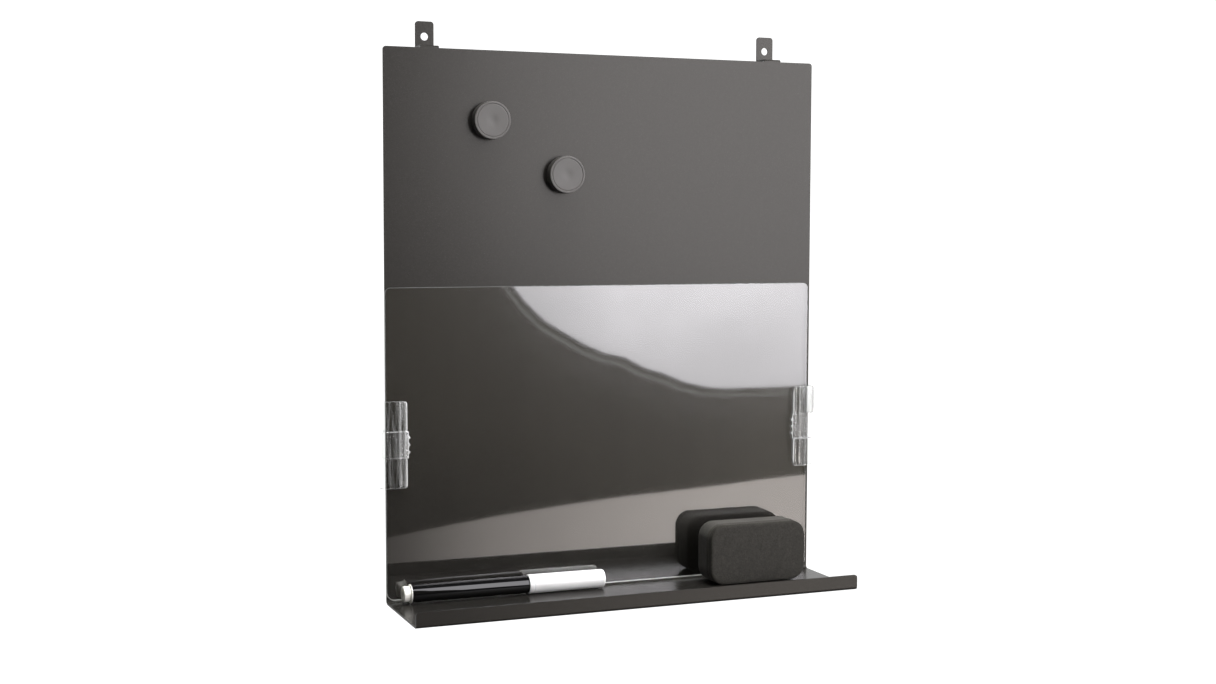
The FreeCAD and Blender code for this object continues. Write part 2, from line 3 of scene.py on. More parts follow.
import bmesh
import bpy
from bpy.props import FloatProperty, FloatVectorProperty, PointerProperty
from mathutils import Matrix, Vector, noise


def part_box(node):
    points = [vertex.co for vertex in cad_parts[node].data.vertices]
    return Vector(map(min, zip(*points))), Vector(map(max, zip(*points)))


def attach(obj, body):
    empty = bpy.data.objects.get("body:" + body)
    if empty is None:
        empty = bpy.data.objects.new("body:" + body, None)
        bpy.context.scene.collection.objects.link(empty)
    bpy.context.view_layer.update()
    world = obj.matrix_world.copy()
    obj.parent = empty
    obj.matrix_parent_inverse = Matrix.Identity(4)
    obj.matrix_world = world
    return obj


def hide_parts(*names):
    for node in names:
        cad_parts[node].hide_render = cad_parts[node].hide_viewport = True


bl_info = {
    "name": "Magnetic board with tray",
    "version": (1, 0, 0),
    "blender": (4, 5, 0),
    "location": "3D View > Sidebar > Board",
    "description": "Builds the dressed board, panel, clips, magnets, marker and eraser on their frame",
    "category": "Object",
}

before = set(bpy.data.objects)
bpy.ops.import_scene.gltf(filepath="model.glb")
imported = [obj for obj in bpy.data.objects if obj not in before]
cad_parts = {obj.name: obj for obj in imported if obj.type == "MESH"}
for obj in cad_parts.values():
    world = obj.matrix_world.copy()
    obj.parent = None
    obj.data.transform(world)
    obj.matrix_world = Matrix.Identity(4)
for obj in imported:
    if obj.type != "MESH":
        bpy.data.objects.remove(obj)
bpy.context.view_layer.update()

MM = 0.001
SIDES = (("left", -1), ("right", 1))
SMOOTH_ANGLE = math.radians(32)
EDGE_ANGLE = math.radians(50)
WELD = 0.001 * MM
COLLAR_EDGE = 0.3 * MM
RIBS = 2
BLACK = (0.0, 0.0, 0.0, 1.0)
WHITE = (1.0, 1.0, 1.0, 1.0)


# Properties

def properties(make, rows, value_of, **kind):
    """Properties named in plain words after their keys. Each row ends with its description."""
    return {
        key: make(
            name=key.replace("_", " ").capitalize(), description=text, default=value_of(value), **kind,
        ) for key, (value, text) in rows.items()
    }


def lengths(**rows):
    """Lengths that are typed in millimetres and kept in metres."""
    return properties(FloatProperty, rows, lambda size: size * MM, min=0.0, unit="LENGTH", precision=5)


def angles(**rows):
    """Angles that are typed in degrees."""
    return properties(FloatProperty, rows, math.radians, unit="ROTATION")


def strengths(**rows):
    return properties(FloatProperty, rows, float, min=0.0)


def shares(**rows):
    return properties(FloatProperty, rows, float, min=0.0, subtype="FACTOR")


def colours(**rows):
    return properties(
        FloatVectorProperty, rows, lambda shade: (*shade, 1.0), min=0.0, max=1.0, size=4, subtype="COLOR",
    )


def places(**rows):
    return properties(FloatVectorProperty, rows, tuple, size=3, unit="LENGTH", subtype="TRANSLATION")


class SheetSettings(bpy.types.PropertyGroup):
    __annotations__ = lengths(
        thickness=(1.2, "Thickness of the steel"),
        wall_gap=(12.0, "From the wall to the board's back"),
        back_bend=(2.0, "Inside radius between board and tray"),
        lip_bend=(1.0, "Inside radius between tray and lip"),
        corner=(2.0, "Radius of the sheet's corners"),
        lip_height=(10.0, "Height of the lip with the sheet"),
        tab_width=(12.0, "Width of a hanger tab"),
        tab_inset=(30.0, "From the board's side to a tab's middle"),
        tab_bend=(0.4, "Inside radius of a tab's bends"),
        hole=(5.0, "Diameter of a screw hole"),
        hole_rise=(8.0, "Height of the holes over the board"),
        edge_round=(0.4, "How far the coat rounds the edges"),
    ) | colours(
        coat=((0.0146, 0.0137, 0.0121), "Powder coat"),
        grain=((0.025, 0.0236, 0.0214), "Lighter grains of the coat"),
        rubber=((0.022, 0.022, 0.023), "Rubber of the rear bumpers"),
    ) | shares(
        coat_roughness=(0.25, "Roughness of the coat"),
    )


class PanelSettings(bpy.types.PropertyGroup):
    __annotations__ = lengths(
        top_corner=(3.5, "Radius of the upper corners"),
        bottom_corner=(5.5, "Radius of the lower corners"),
        edge_round=(0.3, "How far the edges are broken"),
    ) | colours(
        tint=((0.965, 0.966, 0.96), "Light that one face lets through"),
        # Edge colour: full strength only on the bottom edge, a painted glow of light from inside the sheet;
        # a tenth of it on the other edges.
        edge_tint=((0.85, 0.86, 0.84), "Sawn edges"),
    ) | strengths(
        gloss=(2.1, "Refractive index for the gloss of both faces"),
    ) | angles(
        bow=(0.9, "How far the sheet's slight bow tilts what it mirrors"),
    )


class ClipSettings(bpy.types.PropertyGroup):
    __annotations__ = lengths(
        wall=(0.9, "Wall of a clip"),
        rear_cutback=(2.5, "How much shorter the rear flange is"),
        corner=(2.0, "Radius of a flange's corners"),
        collar_height=(17.3, "Height of the raised collar"),
        collar_proud=(0.5, "How far the collar stands proud"),
        collar_reach=(0.7, "How much further in the collar reaches"),
        tooth=(1.0, "Radius of a grip tooth"),
        tooth_pitch=(4.6, "Distance between the grip teeth"),
        rib=(0.45, "Height of the ribs along the front flange"),
        rib_pitch=(3.1, "Distance between the ribs"),
        taper=(1.4, "How far from the ends the ribs run out"),
        long_corner=(6.0, "Height of the right clip's long corners"),
        flow=(0.12, "Height of the moulding's flow lines"),
        flare=(0.8, "How far a wing's end spreads"),
        thumb=(0.7, "How far the right clip's thumb tab stands proud"),
        thumb_width=(3.4, "How far the thumb tab comes in"),
    ) | colours(
        plastic=((0.98, 0.985, 0.98), "Clear plastic"),
        frost=((0.84, 0.85, 0.84), "Frosted places and edges"),
    )


class MagnetSettings(bpy.types.PropertyGroup):
    __annotations__ = lengths(
        rim_width=(1.3, "Width of the rim round the dish"),
        groove=(0.3, "Depth of the groove inside the rim"),
        dish_depth=(0.12, "Depth of the dish at the groove"),
        dimple=(7.0, "Diameter of the soft dimple"),
        dimple_depth=(0.3, "Depth of the dimple below the dish"),
        edge_round=(0.4, "Radius of the outer edge"),
    ) | colours(
        plastic=((0.066, 0.0625, 0.0575), "Satin plastic of the caps"),
        disc=((0.035, 0.035, 0.037), "Sintered magnet discs"),
    )


class MarkerSettings(bpy.types.PropertyGroup):
    __annotations__ = lengths(
        barrel=(11.2, "Diameter of the barrel"),
        neck_step=(0.4, "How far the neck stands below the barrel"),
        neck_wall=(0.6, "Wall of the neck"),
        fit=(0.05, "Clearance of what is pressed into the barrel"),
        flange_step=(0.4, "How far the plug's flange stands over the barrel"),
        flange=(0.8, "Thickness of the plug's flange"),
        knob_step=(1.0, "How far the knob stands below the flange"),
        knob_wall=(1.5, "Wall round the plug's recess"),
        recess=(2.0, "Depth of the plug's recess"),
        nib=(4.4, "Diameter of the nib"),
        cap_wall=(0.7, "Wall of the cap"),
        ring_distance=(2.6, "From the cap's rim to its ring"),
        ring_width=(0.9, "Width of the cap's ring"),
        ring_depth=(0.3, "Depth of the cap's ring"),
        gap=(0.3, "Clearance between the cap and what it covers"),
    ) | colours(
        black=((0.003, 0.003, 0.0032), "Barrel and nib holder"),
        white=((0.93, 0.93, 0.915), "Cap"),
        ivory=((0.9, 0.885, 0.81), "End plug"),
        ink=((0.012, 0.012, 0.016), "Ink in the fibre parts"),
    )


class EraserSettings(bpy.types.PropertyGroup):
    __annotations__ = lengths(
        corner=(10.0, "Radius of the block's corners"),
        edge_round=(1.1, "Radius of the front and rear rims"),
        crown=(0.25, "How far the faces swell between their edges"),
        fuzz=(0.07, "Height of the felt's uneven surface"),
        cell=(0.8, "Cell of the mesh that the soft surfaces are shaped on"),
    ) | colours(
        felt=((0.0158, 0.0149, 0.0125), "Felt of the wiping pad"),
        felt_light=((0.054, 0.051, 0.0435), "Lighter fibres in the felt"),
        foam=((0.032, 0.0305, 0.0262), "Foam of the block"),
    )


class StudioSettings(bpy.types.PropertyGroup):
    __annotations__ = places(
        camera=((-0.41115, -1.03929, -0.11545), "Where the camera stands"),
        floor_height=((0.0, 0.0, -0.9), "Where the floor lies, well below the board"),
    ) | angles(
        yaw=(-21.855, "Turn of the camera about the vertical"),
        pitch=(-4.1255, "Tilt of the camera"),
        roll=(-0.154, "Roll of the camera"),
    ) | strengths(
        focal_length=(49.82, "In millimetres, on a 36 mm wide sensor"),
        key=(8.8, "Large soft light at the front right"),
        key_gloss=(5.75, "The same light, as gloss mirrors it"),
        fill_gloss=(2.1, "Light at the front left, for gloss alone"),
        overhead=(32.0, "Soft light above"),
        backdrop=(1.0, "White backdrop behind the board"),
        table=(2.45, "Pale table that the panel mirrors"),
        curtain=(0.6, "Dark curtain that the panel mirrors"),
        room=(0.065, "Soft light from all around"),
        white=(1.2, "White that the camera sees"),
    ) | colours(
        floor=((0.3, 0.3, 0.3), "Pale floor"),
    )


SETTINGS = {
    "board_sheet": SheetSettings,
    "board_panel": PanelSettings,
    "board_clips": ClipSettings,
    "board_magnets": MagnetSettings,
    "board_marker": MarkerSettings,
    "board_eraser": EraserSettings,
    "board_studio": StudioSettings,
}


# Shader trees

def either_side(operation):
    """An operator and its reflected form, which add a Math node."""
    return (
        lambda value, other: value.math(operation, value, other),
        lambda value, other: value.math(operation, other, value),
    )


class Value:
    """An output of a shader node. Sums and products of values add Math nodes."""

    __add__, __radd__ = either_side("ADD")
    __sub__, __rsub__ = either_side("SUBTRACT")
    __mul__, __rmul__ = either_side("MULTIPLY")
    __truediv__, __rtruediv__ = either_side("DIVIDE")
    __pow__, __rpow__ = either_side("POWER")

    def __init__(self, finish, socket):
        self.finish = finish
        self.socket = socket

    def __abs__(self):
        return self.math("ABSOLUTE", self)

    def math(self, operation, *values):
        return self.finish.add("Math", {"operation": operation}, dict(enumerate(values)))


class Finish:
    """The shader tree of a world, or of a new material given by its name, filled node by node."""

    def __init__(self, owner):
        if isinstance(owner, str):
            owner = bpy.data.materials.new(owner)
        owner.use_nodes = True
        self.owner = owner
        self.nodes = owner.node_tree.nodes
        self.links = owner.node_tree.links
        self.nodes.clear()

    def add(self, kind, settings=None, sockets=None, output=0):
        """A node of one type, with its settings, then its socket values or links."""
        node = self.nodes.new("ShaderNode" + kind)
        for name, value in (settings or {}).items():
            if name == "stops":
                fill_ramp(node.color_ramp, value)
            else:
                setattr(node, name, value)
        for name, value in (sockets or {}).items():
            if isinstance(value, Value):
                self.links.new(value.socket, node.inputs[name])
            elif value is not None:
                node.inputs[name].default_value = value
        return Value(self, node.outputs[output]) if len(node.outputs) else None

    def coordinates(self, stretch=(1.0, 1.0, 1.0)):
        """Places on the piece in metres, squeezed along the axes where the pattern is long."""
        spot = self.add("TexCoord", output="Object")
        return self.add("Mapping", {}, {"Vector": spot, "Scale": stretch})

    def axis(self, name):
        """Where a point of the piece lies along one axis, in metres."""
        return self.add("SeparateXYZ", {}, {"Vector": self.coordinates()}, name)

    def noise(self, size, detail=2.0, stretch=(1.0, 1.0, 1.0), roughness=0.5, distortion=0.0):
        """Smooth noise whose blobs are about one size wide, in millimetres."""
        return self.add("TexNoise", {}, {
            "Vector": self.coordinates(stretch),
            "Scale": 1 / (size * MM),
            "Detail": detail,
            "Roughness": roughness,
            "Distortion": distortion,
        })

    def ramp(self, value, *stops):
        return self.add("ValToRGB", {"stops": stops}, {"Fac": value})

    def mix(self, factor, first, second):
        """A colour between two colours, by the Mix node's colour sockets."""
        return self.add("Mix", {"data_type": "RGBA"}, {0: factor, 6: first, 7: second}, 2)

    def bump(self, height, depth, amount=1.0, normal=None):
        """Relief of one depth in millimetres, on top of another relief."""
        sockets = {"Height": height, "Distance": depth * MM, "Strength": amount, "Normal": normal}
        return self.add("Bump", {}, sockets)

    def ease(self, distance, width):
        """0 below zero distance, 1 beyond the width and eased between."""
        settings = {"interpolation_type": "SMOOTHSTEP"}
        return self.add("MapRange", settings, {"Value": distance, "From Max": width}, "Result")

    def surface(self, base, roughness, normal=None, more=None):
        """A surface with its colour, roughness and relief, and what else it needs."""
        sockets = {"Base Color": base, "Roughness": roughness, "Normal": normal}
        return self.add("BsdfPrincipled", {}, sockets | (more or {}))

    def clear(self, tint):
        return self.add("BsdfTransparent", {}, {"Color": tint})

    def mirror(self, roughness, normal=None):
        sockets = {"Color": WHITE, "Roughness": roughness, "Normal": normal}
        return self.add("BsdfAnisotropic", {}, sockets)

    def glow(self, shade, strength):
        """A surface that only shines."""
        shine = {"Emission Color": shade, "Emission Strength": strength, "Specular IOR Level": 0.0}
        return self.surface(BLACK, 1.0, None, shine)

    def dimmed_glow(self, amount, shade, strength):
        """A shine that fades to nothing as the amount does."""
        return self.glow(self.mix(amount, BLACK, shade), strength)

    def blend(self, factor, first, second):
        """A shader between two shaders."""
        return self.add("MixShader", {}, {0: factor, 1: first, 2: second})

    def show(self, shader):
        self.add("OutputMaterial", {}, {"Surface": shader})
        return self.owner

    def paint(self, *look):
        """The material, with one surface."""
        return self.show(self.surface(*look))

    def light_edge(self, shader, amount, shade, tint):
        """The material of a clear piece's edge: light from inside leaves it, and lamps shine through."""
        inner_light = self.add("BsdfTranslucent", {}, {"Color": shade})
        shader = self.blend(amount, shader, inner_light)
        lamp = self.add("LightPath", output="Is Shadow Ray")
        return self.show(self.blend(lamp, shader, self.clear(tint)))


def fill_ramp(ramp, stops):
    """Sets a colour ramp to grey stops, each a place and a value."""
    while len(ramp.elements) > 1:
        ramp.elements.remove(ramp.elements[-1])
    for index, (position, value) in enumerate(stops):
        stop = ramp.elements[0] if index == 0 else ramp.elements.new(position)
        stop.position = position
        stop.color = (value, value, value, 1.0)


def scaled(shade, share):
    """A colour, brighter or darker by a share."""
    return tuple(channel * share for channel in shade[:3]) + (1.0,)


# Materials

def powder_coat(s, name, depth):
    """Fine-grained matte coat with lighter grains and a faint orange peel; depth darkens its colour and
    sheen, as painted shade on the sheet's edges.
    """
    finish = Finish(name)
    grains = finish.noise(0.45, 3.0, roughness=0.65)
    clouds = finish.noise(60)
    speckle = finish.ramp(grains, (0.44, 0.0), (0.72, 1.0))
    coat = finish.mix(speckle, scaled(s.coat, depth), scaled(s.grain, depth))
    peel = finish.bump(finish.noise(1.6, 1.0), 0.02, 0.5)
    return finish.paint(
        finish.mix(clouds * 0.35, coat, scaled(s.coat, depth * 0.9)),
        grains * 0.12 + (s.coat_roughness - 0.06),
        finish.bump(grains, 0.035, 0.45, peel),
        {"Specular IOR Level": 0.315 * depth, "Specular Tint": (1.0, 0.98, 0.93, 1.0)},
    )


def rubber(s):
    """Dull moulded rubber with a dusty bloom."""
    finish = Finish("bumper_rubber_black")
    bloom = finish.noise(1.8, 4.0)
    base = finish.mix(bloom, s.rubber, scaled(s.rubber, 1.8))
    pores = finish.bump(finish.noise(0.25), 0.03, 0.5)
    return finish.paint(base, bloom * 0.2 + 0.62, pores)


def clear_face(s):
    """Polished clear sheet: it lets the board show and mirrors the room by its Fresnel gloss."""
    finish = Finish("panel_clear_polished")
    smears = finish.noise(24, 3.0, distortion=0.6)
    bow = finish.bump(finish.axis("Z") * math.tan(s.bow), 1000)
    gloss = finish.mirror(smears * 0.01 + 0.023, bow)
    from_inside = finish.add("NewGeometry", output="Backfacing")
    amount = finish.add("Fresnel", {}, {"IOR": s.gloss}) * (1 - from_inside)
    return finish.show(finish.blend(amount, finish.clear(s.tint), gloss))


def clear_back(s):
    """Rear face of the clear sheet, whose gloss the front face already carries."""
    finish = Finish("panel_clear_rear")
    haze = finish.noise(15) * 0.01
    return finish.show(finish.blend(haze, finish.clear(s.tint), finish.mirror(0.1)))


def clear_edge(s):
    """Polished edge of the clear sheet, painted pale at the bottom as a glow of light from inside."""
    finish = Finish("panel_clear_edge")
    above_painted_glow = finish.ease(finish.axis("Z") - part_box("writing_panel")[0].z, 8 * MM)
    streaks = finish.noise(0.5, stretch=(0.08, 1.0, 0.08))
    # Painted light: the bottom edge is pale and more translucent, a painted glow; the edges above are a
    # tenth as bright.
    base = finish.mix(above_painted_glow * (streaks * 0.1 + 0.9), s.edge_tint, scaled(s.edge_tint, 0.1))
    inside = {"IOR": 1.49, "Transmission Weight": 0.3}
    shader = finish.surface(base, streaks * 0.15 + 0.14, None, inside)
    return finish.light_edge(shader, (1 - above_painted_glow) * 0.45 + 0.05, s.edge_tint, s.tint)


def clip_plastic(s):
    """Clear moulded plastic: flow streaks along it, a mottled collar, rib crests painted hazier as
    highlights, painted highlight lines along the edges, and painted shade on the thumb tab.
    """
    finish = Finish("clip_plastic_clear")
    low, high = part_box("left_clip")
    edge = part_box("board")[1].x
    inner = abs(high.x) + s.collar_reach + s.tooth
    half_height = (high.z - low.z) / 2
    half_collar = s.collar_height / 2

    across = finish.axis("X")
    from_middle = abs(across)
    off_centre = finish.axis("Z") - (low.z + half_height)
    on_right = finish.ease(across, MM)
    on_left = 1 - on_right
    beyond = finish.ease(from_middle - edge, 1.5 * MM)
    on_board = 1 - beyond
    inward = (edge - from_middle) / (edge - inner)
    collar = finish.ease(half_collar - abs(off_centre), COLLAR_EDGE)
    rib = (from_middle - inner) / s.rib_pitch
    swing = rib.math("FRACT", rib) * 2 - 1
    crest_highlight = (1 - swing * swing) ** 4
    ribbed = finish.ease(inner + RIBS * s.rib_pitch - from_middle, 0.9 * MM)
    from_end = half_height - off_centre
    thumb = finish.ease(from_end, 1.2 * MM) * finish.ease(half_height - half_collar - from_end, MM)
    thumb = thumb * finish.ease(across - (edge - s.thumb_width), 0.6 * MM)

    streaks = finish.noise(1.1, 3.0, stretch=(1.0, 1.0, 0.05))
    drawn = finish.ramp(streaks, (0.48, 0.0), (0.68, 1.0))
    mottle = finish.ramp(finish.noise(1.4, 3.0), (0.35, 0.0), (0.7, 1.0))
    relief = finish.bump(streaks, 0.12, 0.6)
    gloss = finish.mirror(streaks * 0.1 + 0.06, relief)
    frost_and_painted_highlight = finish.surface(s.frost, mottle * 0.15 + 0.25, relief, {"IOR": 1.47})
    # Painted shade: beyond the board, the right clip's thumb tab lets through a darker grey than the clear
    # plastic.
    thumb_painted_shade = finish.clear((0.86, 0.87, 0.85, 1.0))
    through = finish.blend(thumb * beyond, finish.clear(s.plastic), thumb_painted_shade)
    # Painted light: the right clip, nearer the soft light, gets less gloss, haze and frost than the left,
    # though both are the same plastic, and a little painted haze near its bend.
    amount = finish.add("Fresnel", {}, {"IOR": 1.42, "Normal": relief}) * (1 - on_right * 0.35)
    clear = finish.blend(amount * (1 - beyond * 0.9 * (1 - thumb)), through, gloss)

    # The rib crests are painted hazier, a painted highlight along each crest; the flow streaks are real
    # haze.
    haze = ribbed * (drawn * 0.05 + crest_highlight * 0.13) * (1 - on_right * 0.85)
    haze = haze + drawn * 0.12 * (1 - beyond * 0.8) + thumb * 0.3
    haze = haze + on_right * on_board * (1 - inward) * 0.06
    frosted = collar * inward * inward * (mottle * 0.14 + 0.1) * (1 - on_right * 0.75)
    # Painted highlights: a bright line along the inner edge and lines along the collar's ends, mixed in as
    # haze.
    lip = finish.ease(inner + (0.9 - collar * 1.2) * MM - from_middle, 0.25 * MM)
    lip = lip * (1 - collar * on_left) * (on_right * 0.2 + 0.3)
    seam = finish.ease(0.45 * MM - abs(abs(off_centre) - half_collar), 0.3 * MM) * on_board
    seam = seam * (on_right * finish.ease(0 - off_centre, MM) * 0.35 + on_left * inward * 0.2)
    bright = lip.math("MAXIMUM", lip, seam)
    return finish.show(finish.blend(haze + frosted + bright, clear, frost_and_painted_highlight))


def clip_edge(s):
    """Frosted ends and edges of the moulded clips."""
    finish = Finish("clip_plastic_edge")
    marks = finish.noise(0.5)
    base = finish.mix(marks, scaled(s.frost, 0.75), s.frost)
    inside = {"IOR": 1.47, "Transmission Weight": 0.3}
    shader = finish.surface(base, marks * 0.2 + 0.2, None, inside)
    return finish.light_edge(shader, marks * 0.3 + 0.35, s.frost, s.plastic)


def magnet_plastic(s):
    """Satin moulded plastic."""
    finish = Finish("magnet_plastic_satin")
    texture = finish.noise(0.3)
    base = finish.mix(finish.noise(5, 3.0), scaled(s.plastic, 0.86), s.plastic)
    return finish.paint(base, texture * 0.1 + 0.36, finish.bump(texture, 0.02, 0.5))


def magnet_core(s):
    """Dull sintered disc with fine pores."""
    finish = Finish("magnet_disc_sintered")
    pores = finish.noise(0.35, 4.0)
    base = finish.mix(pores, s.disc, scaled(s.disc, 2.2))
    relief = finish.bump(pores, 0.04, 0.6)
    return finish.paint(base, pores * 0.25 + 0.4, relief, {"Metallic": 0.6})


def marker_gloss(name, shade, roughness, flow, see_through):
    """Moulded plastic with faint flow marks along the marker, and light that spreads inside it."""
    finish = Finish(name)
    marks = finish.noise(flow, stretch=(0.12, 1.0, 1.0))
    base = finish.mix(marks, scaled(shade, 0.93), shade)
    relief = finish.bump(marks, 0.01, 0.15)
    return finish.paint(base, (marks * 0.5 + 0.75) * roughness, relief, {
        "Subsurface Weight": see_through,
        "Subsurface Radius": (1.0, 1.0, 1.0),
        "Subsurface Scale": 2.5 * MM,
    })


def ink_fibre(name, shade, stretch):
    """Pressed fibre, soaked with ink."""
    finish = Finish(name)
    fibres = finish.noise(0.3, 4.0, stretch=stretch)
    base = finish.mix(fibres, shade, scaled(shade, 2.5))
    return finish.paint(base, fibres * 0.2 + 0.65, finish.bump(fibres, 0.05, 0.8))


def felt(s):
    """Pressed felt: crossed fine fibres, some of them lighter, under a soft sheen."""
    finish = Finish("eraser_felt_brown_grey")
    along, across = (
        finish.noise(0.5, 4.0, stretch=stretch, roughness=0.7, distortion=0.8)
        for stretch in ((0.35, 1.0, 1.0), (1.0, 1.0, 0.35))
    )
    tufts = finish.noise(2.6, 3.0)
    weave = along * 0.5 + across * 0.5
    fibres = finish.ramp(weave, (0.36, 0.0), (0.7, 1.0))
    base = finish.mix(fibres, s.felt, s.felt_light)
    relief = finish.bump(tufts, 0.25, 0.5)
    return finish.paint(
        finish.mix(tufts * 0.5, base, scaled(s.felt, 0.7)), 0.95, finish.bump(weave, 0.2, 0.9, relief), {
            "Sheen Weight": 0.08,
            "Sheen Roughness": 0.4,
            "Sheen Tint": (0.8, 0.76, 0.7, 1.0),
            "Specular IOR Level": 0.25,
        },
    )


def foam(s):
    """Dense closed foam with fine pores."""
    finish = Finish("eraser_foam_dark")
    cells = finish.add("TexVoronoi", {}, {"Vector": finish.coordinates(), "Scale": 1 / (0.45 * MM)})
    base = finish.mix(finish.noise(3, 3.0), s.foam, scaled(s.foam, 1.9))
    sheen = {"Sheen Weight": 0.08, "Sheen Roughness": 0.5, "Specular IOR Level": 0.2}
    return finish.paint(base, 0.85, finish.bump(cells, 0.12, 0.6), sheen)


# Mesh building

def chain(bm, points, closed=False):
    """Vertices in a row, joined by edges."""
    verts = [bm.verts.new(point) for point in points]
    following = verts[1:] + verts[:1] if closed else verts[1:]
    for pair in zip(verts, following):
        bm.edges.new(pair)
    return verts


def round_corners(bm, verts, radius, segments=8):
    bmesh.ops.bevel(
        bm, geom=verts, offset=radius, segments=segments, profile=0.5, affect="VERTICES",
        clamp_overlap=True, material=-1,
    )


def round_edges(bm, edges, radius, segments=8):
    bmesh.ops.bevel(
        bm, geom=edges, offset=radius, segments=segments, profile=0.5, affect="EDGES",
        clamp_overlap=True, loop_slide=True, material=-1,
    )


def draw_out(bm, edges, step):
    """Extrudes open edges by one step and returns the edges that moved."""
    made = bmesh.ops.extrude_edge_only(bm, edges=edges)["geom"]
    moved = {item for item in made if isinstance(item, bmesh.types.BMVert)}
    bmesh.ops.translate(bm, vec=step, verts=list(moved))
    lines = [item for item in made if isinstance(item, bmesh.types.BMEdge)]
    return [edge for edge in lines if all(vert in moved for vert in edge.verts)]


def edges_where(bm, test):
    """Edges whose two ends both pass a test on their place."""
    return [edge for edge in bm.edges if all(test(vert.co) for vert in edge.verts)]


def near(first, second):
    return abs(first - second) < 0.01 * MM


def turned(bm, corners, centre, axis, steps=96, closed=False):
    """Turns a profile once round an axis.

    Each corner is its distance along the axis from the centre, its radius and, in millimetres,
    its rounding.
    """
    points = [centre + Vector(axis) * along + Vector((0, 0, radius)) for along, radius, _ in corners]
    verts = chain(bm, points, closed)
    for vert, (_, _, rounding) in zip(verts, corners):
        if rounding:
            round_corners(bm, [vert], rounding * MM, 5)
    profile = bm.verts[:] + bm.edges[:]
    bmesh.ops.spin(
        bm, geom=profile, cent=centre, axis=axis, angle=math.tau, steps=steps, use_merge=True,
    )
    bmesh.ops.remove_doubles(bm, verts=bm.verts[:], dist=WELD)
    bmesh.ops.recalc_face_normals(bm, faces=bm.faces[:])


def face_towards(bm, direction):
    """Turns an open sheet's normals so that most of its area faces one way."""
    bmesh.ops.recalc_face_normals(bm, faces=bm.faces[:])
    facing = sum(face.normal.dot(direction) * face.calc_area() for face in bm.faces)
    if facing < 0:
        bmesh.ops.reverse_faces(bm, faces=bm.faces[:])


def new_piece(name, bm, *materials):
    """A smooth-shaded object with hard edges kept, whose place is in its mesh."""
    for face in bm.faces:
        face.smooth = True
    for edge in bm.edges:
        edge.smooth = edge.calc_face_angle(0) < SMOOTH_ANGLE
    mesh = bpy.data.meshes.new(name)
    bm.to_mesh(mesh)
    bm.free()
    for material in materials:
        mesh.materials.append(material)
    piece = bpy.data.objects.new(name, mesh)
    bpy.context.scene.collection.objects.link(piece)
    return piece


def smooth_share(value):
    """A share that eases from 0 to 1 as the value does."""
    clipped = min(1.0, max(0.0, value))
    return clipped * clipped * (3 - 2 * clipped)


def modify(piece, name, kind, **values):
    """Adds a modifier with its values."""
    modifier = piece.modifiers.new(name, kind)
    for key, value in values.items():
        setattr(modifier, key, value)


def thicken(piece, thickness, even):
    """Gives a sheet its wall, inwards from its face. The rim has the second material."""
    modify(
        piece, "Wall", "SOLIDIFY", thickness=thickness, offset=-1, use_even_offset=even,
        material_offset_rim=1,
    )


def even_normals(piece):
    """Keeps wide faces flat in the shading beside their narrow rounded edges."""
    modify(piece, "Even normals", "WEIGHTED_NORMAL", keep_sharp=True)


def soft_edges(piece, width, segments=2, material=-1):
    modify(
        piece, "Soft edges", "BEVEL", width=width, segments=segments, limit_method="ANGLE",
        angle_limit=EDGE_ANGLE, material=material,
    )


def settle(piece, body, slot, *nodes):
    """Rides the piece on its body in place of the CAD nodes that it stands for."""
    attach(piece, body)
    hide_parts(*nodes)
    return piece


def dress(node, material):
    """Gives a CAD node that stays a new material."""
    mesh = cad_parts[node].data
    mesh.materials.clear()
    mesh.materials.append(material)


# Operators

